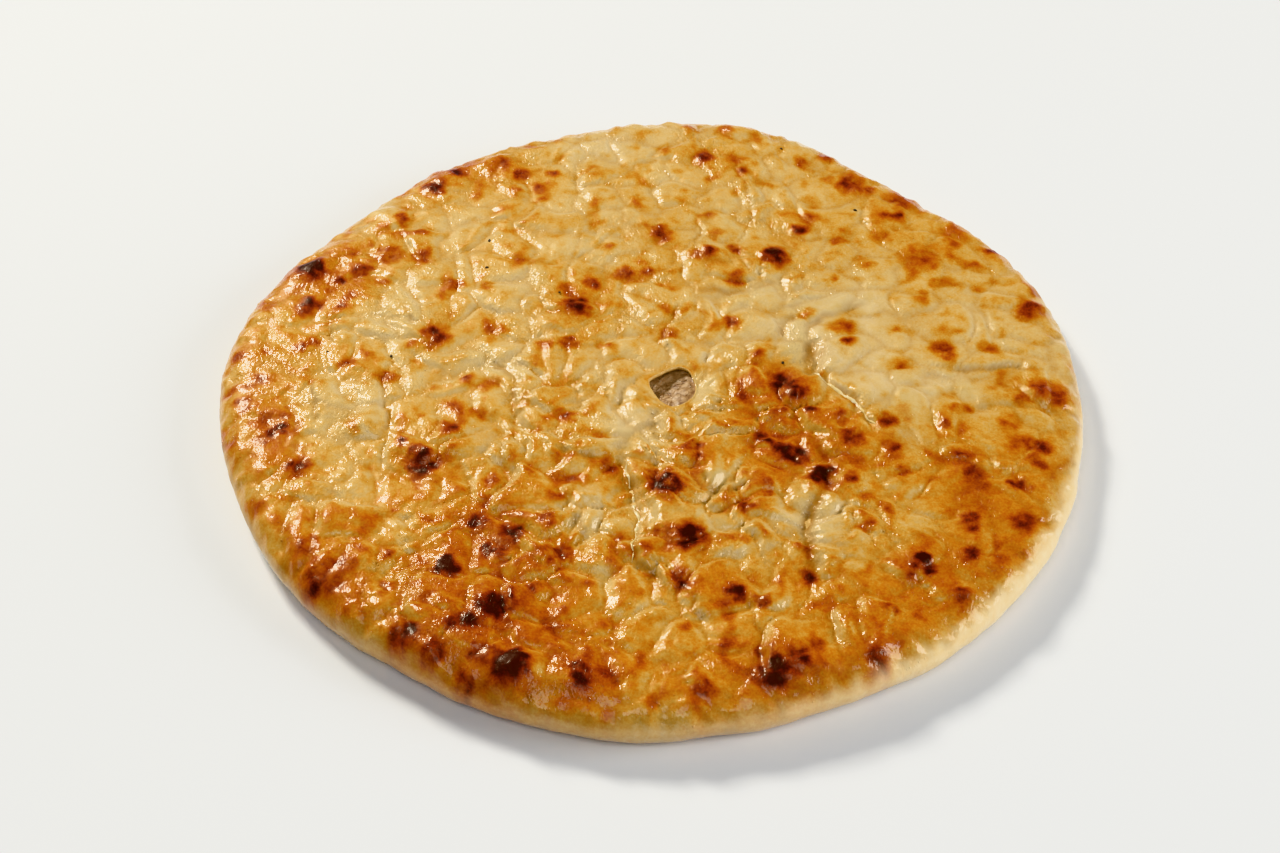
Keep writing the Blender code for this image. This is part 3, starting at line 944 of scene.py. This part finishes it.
def chicken_in_cheese():
    """Chopped chicken set in melted cheese: beige grey, moist, with pale threads."""
    material, tree, shader, place = new_material("chicken in melted cheese")
    lumps = add_node(tree, "ShaderNodeTexNoise", {
        "Vector": place, "Scale": per(2.2), "Detail": 4.0, "Roughness": 0.6})
    colour = add_node(tree, "ShaderNodeValToRGB", {"Fac": lumps})
    set_ramp(colour, ((0.34, "#805C3E"), (0.5, "#A88460"), (0.66, "#C8A884")))
    bumps = add_node(tree, "ShaderNodeBump", {
        "Strength": 0.8, "Distance": 0.5 * MM, "Height": lumps})
    feed(tree, shader, {
        "Base Color": colour, "Normal": bumps, "Roughness": 0.45, "Coat Weight": 0.4,
        "Coat Roughness": 0.15})
    return material


def black_pepper():
    """Cracked black pepper: dull, near black grains."""
    material, tree, shader, place = new_material("cracked black pepper")
    grain = add_node(tree, "ShaderNodeTexNoise", {"Vector": place, "Scale": per(0.5)})
    colour = add_node(tree, "ShaderNodeValToRGB", {"Fac": grain})
    set_ramp(colour, ((0.35, "#1C120C"), (0.7, "#4A3424")))
    feed(tree, shader, {"Base Color": colour, "Roughness": 0.6})
    return material


def butter_painted_pale():
    """Melted butter: a smooth, very glossy fat, coloured pale cream, which partly paints in
    the bright highlight that such threads show.
    """
    material, tree, shader, place = new_material("melted butter")
    cloud = add_node(tree, "ShaderNodeTexNoise", {"Vector": place, "Scale": per(4.0)})
    colour = add_node(tree, "ShaderNodeValToRGB", {"Fac": cloud})
    # Painted highlight: pale cream, lighter than the butter's own yellow, so the threads read as
    # bright lines.
    set_ramp(colour, ((0.3, "#E6C77E"), (0.7, "#F6E6BC")))
    feed(tree, shader, {
        "Base Color": colour, "Roughness": 0.3, "IOR": FAT_IOR, "Coat Weight": 1.0,
        "Coat Roughness": 0.05})
    return material


def seen_only(tree, colour):
    """A glow that shows to the eye and lights nothing."""
    seen = add_node(tree, "ShaderNodeLightPath").outputs["Is Camera Ray"]
    return add_node(tree, "ShaderNodeEmission", {"Color": (*colour, 1.0), "Strength": seen})


def pale_floor(colour, far_colour):
    """Matt white studio floor that runs out into the white of the room."""
    material, tree, shader, place = new_material("matt white floor")
    feed(tree, shader, {
        "Base Color": (*colour, 1.0), "Roughness": 0.9, "Specular IOR Level": 0.1})
    away = add_node(tree, "ShaderNodeVectorMath", {0: place}, operation="LENGTH")
    share = add_node(tree, "ShaderNodeMapRange", {
        "Value": away, "From Min": 0.7, "From Max": 1.9}, interpolation_type="SMOOTHSTEP")
    mixed = add_node(tree, "ShaderNodeMixShader", {
        0: share, 1: shader, 2: seen_only(tree, far_colour)})
    feed(tree, tree.nodes["Material Output"], {"Surface": mixed})
    return material


# ---------------------------------------------------------------- scattered things


def new_geometry_tree(name, **inputs):
    """A Geometry Nodes tree with a geometry output and inputs of these kinds."""
    tree = bpy.data.node_groups.new(name, "GeometryNodeTree")
    tree.interface.new_socket("Geometry", in_out="INPUT", socket_type="NodeSocketGeometry")
    for label, kind in inputs.items():
        tree.interface.new_socket(label, in_out="INPUT", socket_type="NodeSocket" + kind)
    tree.interface.new_socket("Geometry", in_out="OUTPUT", socket_type="NodeSocketGeometry")
    return tree


def finish_tree(tree, geometry):
    """Realize the instances, shade them smooth and give them the tree's material."""
    given = tree.nodes["Group Input"].outputs
    real = add_node(tree, "GeometryNodeRealizeInstances", {"Geometry": geometry})
    soft = add_node(tree, "GeometryNodeSetShadeSmooth", {"Geometry": real})
    painted = add_node(tree, "GeometryNodeSetMaterial", {
        "Geometry": soft, "Material": given["Material"]})
    add_node(tree, "NodeGroupOutput", {"Geometry": painted})


def grown(name, mesh, tree, values):
    """Run a tree on a mesh and keep the result as a plain object."""
    host = new_object(name + "_host", mesh)
    modifier = host.modifiers.new("grow", "NODES")
    sockets = {item.name: item.identifier for item in tree.interface.items_tree
               if item.in_out == "INPUT"}
    modifier.node_group = tree
    for label, value in values.items():
        modifier[sockets[label]] = value
    depsgraph = bpy.context.evaluated_depsgraph_get()
    depsgraph.update()
    result = bpy.data.meshes.new_from_object(host.evaluated_get(depsgraph))
    bpy.data.objects.remove(host)
    result.name = name
    return new_object(name, result)


def pimple_tree():
    """Tiny flattened domes over the top of a surface, thick and thin by noise."""
    tree = new_geometry_tree(
        "dough pimples", Surface="Object", Density="Float", Smallest="Float", Largest="Float",
        Lowest="Float", Seed="Int", Material="Material")
    given = add_node(tree, "NodeGroupInput").outputs
    surface = add_node(tree, "GeometryNodeObjectInfo", {"Object": given["Surface"]})
    position = add_node(tree, "GeometryNodeInputPosition")
    apart = add_node(tree, "ShaderNodeSeparateXYZ", {0: position})
    high = add_node(tree, "FunctionNodeCompare", {
        0: apart.outputs["Z"], 1: given["Lowest"]}, operation="GREATER_THAN")
    facing = add_node(tree, "ShaderNodeSeparateXYZ", {
        0: add_node(tree, "GeometryNodeInputNormal")})
    upward = add_node(tree, "FunctionNodeCompare", {
        0: facing.outputs["Z"], 1: 0.35}, operation="GREATER_THAN")
    chosen = add_node(tree, "FunctionNodeBooleanMath", {0: high, 1: upward}, operation="AND")
    patches = add_node(tree, "ShaderNodeTexNoise", {"Vector": position, "Scale": per(16.0)})
    gathered = add_node(tree, "ShaderNodeMapRange", {
        "Value": patches, "From Min": 0.42, "From Max": 0.62})
    points = add_node(tree, "GeometryNodeDistributePointsOnFaces", {
        "Mesh": surface.outputs["Geometry"], "Selection": chosen, "Distance Min": 1.0 * MM,
        "Density Max": given["Density"], "Density Factor": gathered,
        "Seed": given["Seed"]}, distribute_method="POISSON")
    dome = add_node(tree, "GeometryNodeMeshUVSphere", {
        "Segments": 8, "Rings": 5, "Radius": 1.0})
    flat = add_node(tree, "GeometryNodeTransform", {
        "Geometry": dome, "Scale": (1.0, 1.0, 0.5), "Translation": (0.0, 0.0, -0.32)})
    draw = add_node(tree, "FunctionNodeRandomValue", {
        "Min": 0.0, "Max": 1.0, "Seed": given["Seed"]}, data_type="FLOAT")
    rare = add_node(tree, "ShaderNodeMath", {0: draw, 1: 2.2}, operation="POWER")
    size = add_node(tree, "ShaderNodeMapRange", {
        "Value": rare, "To Min": given["Smallest"], "To Max": given["Largest"]})
    placed = add_node(tree, "GeometryNodeInstanceOnPoints", {
        "Points": points, "Instance": flat, "Rotation": points.outputs["Rotation"],
        "Scale": size})
    finish_tree(tree, placed)
    return tree


def grain_tree():
    """Rough grains or shreds on the points of a mesh, each turned its own way."""
    tree = new_geometry_tree(
        "rough grains", Size="Float", Length="Float", Roughness="Float", Seed="Int",
        Material="Material")
    given = add_node(tree, "NodeGroupInput").outputs
    ball = add_node(tree, "GeometryNodeMeshIcoSphere", {"Radius": 1.0, "Subdivisions": 2})
    stretch = add_node(tree, "ShaderNodeCombineXYZ", {
        "X": given["Length"], "Y": 1.0, "Z": 0.7})
    long = add_node(tree, "GeometryNodeTransform", {"Geometry": ball, "Scale": stretch})
    turn = add_node(tree, "FunctionNodeRandomValue", {
        "Min": (-0.2, -0.2, -math.pi), "Max": (0.2, 0.2, math.pi),
        "Seed": given["Seed"]}, data_type="FLOAT_VECTOR")
    grow = add_node(tree, "FunctionNodeRandomValue", {
        2: 0.7, 3: 1.25, "Seed": given["Seed"]}, data_type="FLOAT")
    size = add_node(tree, "ShaderNodeMath", {
        0: grow, 1: given["Size"]}, operation="MULTIPLY")
    placed = add_node(tree, "GeometryNodeInstanceOnPoints", {
        "Points": given["Geometry"], "Instance": long, "Rotation": turn, "Scale": size})
    real = add_node(tree, "GeometryNodeRealizeInstances", {"Geometry": placed})
    knobs = add_node(tree, "ShaderNodeTexNoise", {
        "Vector": add_node(tree, "GeometryNodeInputPosition"), "Scale": per(0.9)})
    push = add_node(tree, "ShaderNodeMath", {0: knobs, 1: 0.5}, operation="SUBTRACT")
    push = add_node(tree, "ShaderNodeMath", {
        0: push, 1: given["Roughness"]}, operation="MULTIPLY")
    out = add_node(tree, "ShaderNodeVectorMath", {
        0: add_node(tree, "GeometryNodeInputNormal"), "Scale": push}, operation="SCALE")
    rough = add_node(tree, "GeometryNodeSetPosition", {"Geometry": real, "Offset": out})
    finish_tree(tree, rough)
    return tree


def seam_tree():
    """Low beads of fat along lines, thicker and thinner by noise, closed at their ends."""
    tree = new_geometry_tree("butter beads", Width="Float", Height="Float", Material="Material")
    given = add_node(tree, "NodeGroupInput").outputs
    line = add_node(tree, "GeometryNodeMeshToCurve", {"Mesh": given["Geometry"]})
    upright = add_node(tree, "GeometryNodeSetCurveNormal", {"Curve": line})
    along = add_node(tree, "GeometryNodeSplineParameter")
    swell = add_node(tree, "ShaderNodeTexNoise", {
        "Vector": add_node(tree, "GeometryNodeInputPosition"), "Scale": per(3.0)})
    swell = add_node(tree, "ShaderNodeMapRange", {
        "Value": swell, "From Min": 0.38, "From Max": 0.66, "To Min": 0.12})
    arch = add_node(tree, "ShaderNodeMath", {0: along, 1: math.pi}, operation="MULTIPLY")
    arch = add_node(tree, "ShaderNodeMath", {0: arch}, operation="SINE")
    arch = add_node(tree, "ShaderNodeMath", {0: arch, 1: 0.4}, operation="POWER")
    arch = add_node(tree, "ShaderNodeMath", {0: arch, 1: swell}, operation="MULTIPLY")
    thick = add_node(tree, "ShaderNodeMath", {0: arch, 1: 1.5}, operation="MULTIPLY")
    sized = add_node(tree, "GeometryNodeSetCurveRadius", {"Curve": upright, "Radius": thick})
    ring = add_node(tree, "GeometryNodeCurvePrimitiveCircle", {"Resolution": 8, "Radius": 0.5})
    shape = add_node(tree, "ShaderNodeCombineXYZ", {
        "X": given["Width"], "Y": given["Height"], "Z": 1.0})
    oval = add_node(tree, "GeometryNodeTransform", {"Geometry": ring, "Scale": shape})
    bead = add_node(tree, "GeometryNodeCurveToMesh", {
        "Curve": sized, "Profile Curve": oval, "Scale": thick, "Fill Caps": True})
    finish_tree(tree, bead)
    return tree


# Distance between the points of a thread of butter, and how far it stands off the dough
BEAD_SPACING = 0.8
BEAD_LIFT = 0.05


def seam_mesh(name, dough, lines):
    """Lines over the dough as a mesh of edges, from the points that they run by."""
    points, edges = [], []
    for line in lines:
        line = np.array(line, float)
        gaps = np.linalg.norm(np.diff(line, axis=0), axis=1)
        lengths = np.concatenate(((0.0,), gaps.cumsum()))
        steps = np.linspace(0.0, lengths[-1], max(int(lengths[-1] / BEAD_SPACING), 4))
        place = np.column_stack([np.interp(steps, lengths, line[:, axis]) for axis in (0, 1)])
        for _ in range(3):
            place[1:-1] = (place[:-2] + place[1:-1] + place[2:]) / 3.0
        place = dough.bent(place, 1.1, 5.0, 71)
        height = dough.hand_height(place) + dough.fine_relief(place)
        start = len(points)
        points.extend(on_plane(place, height + BEAD_LIFT))
        edges.extend((start + i, start + i + 1) for i in range(len(place) - 1))
    return make_mesh(name, np.array(points), edges)


# ---------------------------------------------------------------- the filling


# Room between the filling and the dough, points of a ring of its base and its side, and
# shares of the way from the dip's middle to the filling's edge at which its rings lie
FILLING_GAP = 0.4
FILLING_POINTS = 140
FILLING_STEPS = (*np.linspace(1.0, 0.2, 18), *np.linspace(0.18, 0.0, 42))

# How far from the vent the filling's points lie close, their spacing past that, and how
# far out its rings have taken on the outline's shape
FINE_REACH = 24.0
FILLING_SPACING = 6.0
OUTLINE_REACH = 110.0

# The dip below the vent: its deepest place from the vent's middle, its depth and half
# width, how far round the vent the lumps and the slope show, and how far out the shreds lie
DIP_PLACE = (-3.0, 2.0)
DIP_DEPTH = 2.3
DIP_WIDTH = 9.0
SHOW_WIDTH = 12.0
SHRED_REACH = 11.0


def filling_rings(dough, spacing):
    """Rings of the filling, from the middle of its base to the middle of its dip."""
    inset = SIDE_CRUST + FILLING_GAP
    low = BASE_CRUST + FILLING_GAP
    drop = TOP_CRUST + FILLING_GAP
    rings = [np.array(((0.0, 0.0, low),))]
    for share in (0.3, 0.6, 0.85):
        angle = ring_angles(round(FILLING_POINTS * share), 0)
        rings.append(on_plane(share * dough.side_place(angle, dough.base_round), low))
    for turn in np.linspace(-90.0, 90.0, 7)[:-1]:
        angle = ring_angles(FILLING_POINTS, 0)
        rings.append(side_ring(dough, angle, math.radians(turn), inset, low, drop))
    outer = dough.radius - dough.top_round - inset
    for index, share in enumerate(FILLING_STEPS[:-1]):
        radius = share * outer
        size = spacing if radius < FINE_REACH else FILLING_SPACING
        angle = ring_angles(max(round(TURN * radius / size), 8), index)
        round_edge = dough.side_place(angle, dough.top_round + inset)
        vent = VENT_CENTRE + radius * directions(angle)
        blend = smooth(FINE_REACH, OUTLINE_REACH, radius)
        place = vent + blend * (share * round_edge - vent)
        rings.append(on_plane(place, filling_height(dough, place)))
    middle = VENT_CENTRE[None, :]
    rings.append(on_plane(middle, filling_height(dough, middle)))
    return rings


def filling_height(dough, place):
    """Top of the filling: under the dough, with a lumpy dip below the vent."""
    off = place - VENT_CENTRE
    away = np.linalg.norm(off, axis=1)
    top = dough.hand_height(place) - TOP_CRUST - FILLING_GAP
    deepest = np.linalg.norm(off - DIP_PLACE, axis=1)
    dip = DIP_DEPTH * np.exp(-((deepest / DIP_WIDTH) ** 2))
    off = off / 10.0
    slope = 1.2 + 3.2 * off[:, 0] - 1.2 * off[:, 1]
    show = np.exp(-((away / SHOW_WIDTH) ** 2))
    lumps = 0.6 * dough.lump(place, 4.8, 51) + 0.35 * dough.lump(place, 2.2, 52)
    return top - dip + show * (slope + lumps)


def make_filling(settings, material):
    """The layer of filling that runs through the pie and shows in the vent."""
    dough = Dough(bpy.context.scene.pie_crust)
    rings = filling_rings(dough, settings.spacing / MM)
    return mesh_object("chicken_cheese_filling", np.concatenate(rings), build_web(rings),
                       material)


# ---------------------------------------------------------------- settings


class PieCrustSettings(bpy.types.PropertyGroup):
    """Sizes of the crust."""

    rim_height: FloatProperty(
        name="Rim height", description="Height of the top where it meets the side",
        default=18.0 * MM, unit="LENGTH")
    crown_height: FloatProperty(
        name="Crown height", description="Height of the top at the middle",
        default=20.5 * MM, unit="LENGTH")
    side_middle: FloatProperty(
        name="Widest height", description="Height at which the side is widest",
        default=9.0 * MM, unit="LENGTH")
    top_round: FloatProperty(
        name="Shoulder", description="How far in the side rounds over to the top",
        default=13.0 * MM, unit="LENGTH")
    base_round: FloatProperty(
        name="Lower edge", description="How far in the side rounds under to the base",
        default=9.0 * MM, unit="LENGTH")
    lump_height: FloatProperty(
        name="Lump height", description="Height of the lumps of filling under the dough",
        default=1.15 * MM, unit="LENGTH")
    spacing: FloatProperty(
        name="Point spacing", description="Distance between points of the top",
        default=1.04 * MM, unit="LENGTH")
    seed: IntProperty(name="Seed", description="Changes every lump", default=5)


class PieFillingSettings(bpy.types.PropertyGroup):
    """Sizes of the filling."""

    spacing: FloatProperty(
        name="Point spacing", description="Distance between points under the vent",
        default=0.7 * MM, unit="LENGTH")
    shred_size: FloatProperty(
        name="Shred width", description="Half the width of a shred of chicken",
        default=0.42 * MM, unit="LENGTH")
    shreds: IntProperty(
        name="Shreds", description="How many shreds of chicken show in the vent", default=44)


class PieScatterSettings(bpy.types.PropertyGroup):
    """Pimples of the dough, threads of butter and grains of pepper."""

    density: FloatProperty(
        name="Pimple density", description="Most pimples in a square metre", default=60000.0)
    smallest: FloatProperty(
        name="Smallest pimple", description="Radius of the smallest pimple",
        default=0.32 * MM, unit="LENGTH")
    largest: FloatProperty(
        name="Largest pimple", description="Radius of the largest pimple",
        default=0.75 * MM, unit="LENGTH")
    bead_width: FloatProperty(
        name="Bead width", description="Width of a thread of butter in a crease",
        default=1.7 * MM, unit="LENGTH")
    bead_height: FloatProperty(
        name="Bead height", description="Height of a thread of butter in a crease",
        default=1.0 * MM, unit="LENGTH")
    pepper: FloatProperty(
        name="Pepper size", description="Half the width of a grain of pepper",
        default=0.6 * MM, unit="LENGTH")


class PieStageSettings(bpy.types.PropertyGroup):
    """Floor, lights and camera."""

    floor_size: FloatProperty(
        name="Floor width", description="Width of the floor", default=12.0, unit="LENGTH")
    floor_colour: FloatVectorProperty(
        name="Floor colour", description="Colour of the floor", subtype="COLOR",
        default=(0.80, 0.82, 0.90))
    far_colour: FloatVectorProperty(
        name="Room colour", description="Colour of the room behind the floor",
        subtype="COLOR", default=(0.93, 0.93, 0.915))
    key_colour: FloatVectorProperty(
        name="Key colour", description="Colour of the softbox behind", subtype="COLOR",
        default=(1.0, 0.95, 0.78))
    fill_colour: FloatVectorProperty(
        name="Fill colour", description="Colour of the other lights and of the room",
        subtype="COLOR", default=(1.0, 1.0, 0.93))
    lens: FloatProperty(
        name="Lens", description="Focal length on a 36 mm wide sensor", default=58.97)
    ambient: FloatProperty(
        name="Ambient", description="Light that the room gives", default=0.045)
    key: FloatProperty(
        name="Key", description="Power of the softbox behind, in watts", default=58.0)
    overhead: FloatProperty(
        name="Overhead", description="Power of the panel overhead, in watts", default=25.0)
    fill: FloatProperty(
        name="Fill", description="Power of the light on the right, in watts", default=38.0)


# ---------------------------------------------------------------- making


# Where the pimples of the dough start, above the floor
PIMPLES_ABOVE = 12.0

# Lights: name, place, width, and the settings that hold the power and the colour
LIGHTS = (
    ("key_softbox", (-1.15, 1.45, 1.45), 0.5, "key", "key_colour"),
    ("right_softbox", (2.1, -0.25, 0.85), 1.15, "fill", "fill_colour"),
    ("overhead_panel", (-0.2, -1.4, 2.2), 1.5, "overhead", "fill_colour"),
)

# The camera's place, how far it is tilted up from straight down, and its sensor
CAMERA_PLACE = (-0.0038, -0.5870, 0.5853)
CAMERA_TILT = math.radians(44.53)
SENSOR_WIDTH = 36.0


def aimed(location, target):
    """Rotation that points a light at a target."""
    return (Vector(target) - Vector(location)).to_track_quat("-Z", "Y").to_euler()


def studio_floor(stage):
    """A wide square floor."""
    half = stage.floor_size / 2.0
    mesh = bpy.data.meshes.new("studio_floor")
    mesh.from_pydata([(-half, -half, 0.0), (half, -half, 0.0), (half, half, 0.0),
                      (-half, half, 0.0)], [], [(0, 1, 2, 3)])
    mesh.materials.append(pale_floor(stage.floor_colour, stage.far_colour))
    return new_object("studio_floor", mesh)


def white_room(stage):
    """Even light from all round, with a white wall that only the eye sees."""
    world = bpy.data.worlds.new("white room")
    world.use_nodes = True
    tree = world.node_tree
    room = tree.nodes["Background"]
    feed(tree, room, {"Strength": stage.ambient, "Color": (*stage.fill_colour, 1.0)})
    both = add_node(tree, "ShaderNodeAddShader", {0: room, 1: seen_only(tree, stage.far_colour)})
    feed(tree, tree.nodes["World Output"], {"Surface": both})
    return world


def soft_lights(stage):
    """The lights of the table, aimed at the pie."""
    for name, place, width, power, colour in LIGHTS:
        light = bpy.data.lights.new(name, "AREA")
        light.shape = "SQUARE"
        light.size = width
        light.energy = getattr(stage, power)
        light.color = getattr(stage, colour)
        lamp = new_object(name, light)
        lamp.location = place
        lamp.rotation_euler = aimed(place, (0.0, 0.0, 0.0))


def viewing_camera(stage):
    """The camera that the pie is seen by."""
    camera = bpy.data.cameras.new("camera")
    camera.lens = stage.lens
    camera.sensor_width = SENSOR_WIDTH
    viewer = new_object("camera", camera)
    viewer.location = CAMERA_PLACE
    viewer.rotation_euler = (CAMERA_TILT, 0.0, 0.0)
    return viewer


class PIE_OT_crust(bpy.types.Operator):
    """Make the skin of baked dough with its pimples"""

    bl_idname = "pie.crust"
    bl_label = "Make crust"

    def execute(self, context):
        dough = baked_dough()
        crust = make_crust(context.scene.pie_crust, dough)
        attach(crust, "root")
        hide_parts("crust")
        scatter = context.scene.pie_scatter
        pimples = grown("dough_pimples", bpy.data.meshes.new("none"), pimple_tree(), {
            "Surface": crust, "Density": scatter.density, "Smallest": scatter.smallest,
            "Largest": scatter.largest, "Lowest": PIMPLES_ABOVE * MM, "Seed": 3,
            "Material": dough})
        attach(pimples, "root")
        return {"FINISHED"}


class PIE_OT_filling(bpy.types.Operator):
    """Make the filling and the shreds of chicken that show in the vent"""

    bl_idname = "pie.filling"
    bl_label = "Make filling"

    def execute(self, context):
        settings = context.scene.pie_filling
        material = chicken_in_cheese()
        filling = make_filling(settings, material)
        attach(filling, "root")
        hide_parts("filling")
        dough = Dough(context.scene.pie_crust)
        rng = np.random.default_rng(8)
        away = SHRED_REACH * np.sqrt(rng.random(settings.shreds))
        place = VENT_CENTRE + away[:, None] * directions(rng.random(settings.shreds) * TURN)
        height = filling_height(dough, place)
        shreds = grown("chicken_shreds", make_mesh("shred_points", on_plane(place, height)),
                       grain_tree(), {
            "Size": settings.shred_size, "Length": 3.4, "Roughness": 0.4 * MM, "Seed": 4,
            "Material": material})
        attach(shreds, "root")
        return {"FINISHED"}


class PIE_OT_pepper(bpy.types.Operator):
    """Make the grains of pepper baked into the top"""

    bl_idname = "pie.pepper"
    bl_label = "Make pepper"

    def execute(self, context):
        dough = Dough(context.scene.pie_crust)
        place = np.array(PEPPER_PLACES, float)
        height = dough.hand_height(place) + dough.fine_relief(place)
        grains = grown("pepper_grains", make_mesh("grain_points", on_plane(place, height)),
                       grain_tree(), {
            "Size": context.scene.pie_scatter.pepper, "Length": 1.3, "Roughness": 0.4 * MM,
            "Seed": 2, "Material": black_pepper()})
        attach(grains, "root")
        return {"FINISHED"}


class PIE_OT_butter(bpy.types.Operator):
    """Make the threads of melted butter that stand in the creases, pale as painted highlights"""

    bl_idname = "pie.butter"
    bl_label = "Make butter"

    def execute(self, context):
        dough = Dough(context.scene.pie_crust)
        scatter = context.scene.pie_scatter
        beads = grown("butter_beads", seam_mesh("bead_lines", dough, BUTTER_LINES),
                      seam_tree(), {
            "Width": scatter.bead_width, "Height": scatter.bead_height,
            "Material": butter_painted_pale()})
        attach(beads, "root")
        return {"FINISHED"}


class PIE_OT_stage(bpy.types.Operator):
    """Set the floor, the soft lights and the camera"""

    bl_idname = "pie.stage"
    bl_label = "Set stage"

    def execute(self, context):
        scene = context.scene
        stage = scene.pie_stage
        floor = studio_floor(stage)
        scene.world = white_room(stage)
        soft_lights(stage)
        scene.camera = viewing_camera(stage)
        scene.view_settings.view_transform = "Khronos PBR Neutral"
        return {"FINISHED"}


class PIE_PT_panel(bpy.types.Panel):
    """Lists the pie's pieces and their sizes"""

    bl_label = "Pie"
    bl_idname = "PIE_PT_panel"
    bl_space_type = "VIEW_3D"
    bl_region_type = "UI"
    bl_category = "Pie"

    def draw(self, context):
        for group, action in PANEL_ROWS:
            box = self.layout.box()
            settings = getattr(context.scene, group)
            for label in settings.bl_rna.properties.keys():
                if label not in ("rna_type", "name"):
                    box.prop(settings, label)
            box.operator(action)


# Setting groups and the operators that read them
PANEL_ROWS = (
    ("pie_crust", "pie.crust"), ("pie_filling", "pie.filling"),
    ("pie_scatter", "pie.pepper"), ("pie_scatter", "pie.butter"), ("pie_stage", "pie.stage"),
)
SETTING_GROUPS = {
    "pie_crust": PieCrustSettings, "pie_filling": PieFillingSettings,
    "pie_scatter": PieScatterSettings, "pie_stage": PieStageSettings,
}
CLASSES = (
    *SETTING_GROUPS.values(), PIE_OT_crust, PIE_OT_filling, PIE_OT_pepper, PIE_OT_butter,
    PIE_OT_stage, PIE_PT_panel,
)


def register():
    """Add the classes and the settings to Blender."""
    for kind in CLASSES:
        bpy.utils.register_class(kind)
    for name, kind in SETTING_GROUPS.items():
        setattr(bpy.types.Scene, name, PointerProperty(type=kind))


def unregister():
    """Take the settings and the classes out again."""
    for name in SETTING_GROUPS:
        delattr(bpy.types.Scene, name)
    for kind in reversed(CLASSES):
        bpy.utils.unregister_class(kind)


def main():
    """Make the pie and its stage."""
    register()
    bpy.ops.pie.crust()
    bpy.ops.pie.filling()
    bpy.ops.pie.pepper()
    bpy.ops.pie.butter()
    bpy.ops.pie.stage()


if __name__ == "__main__":
    main()
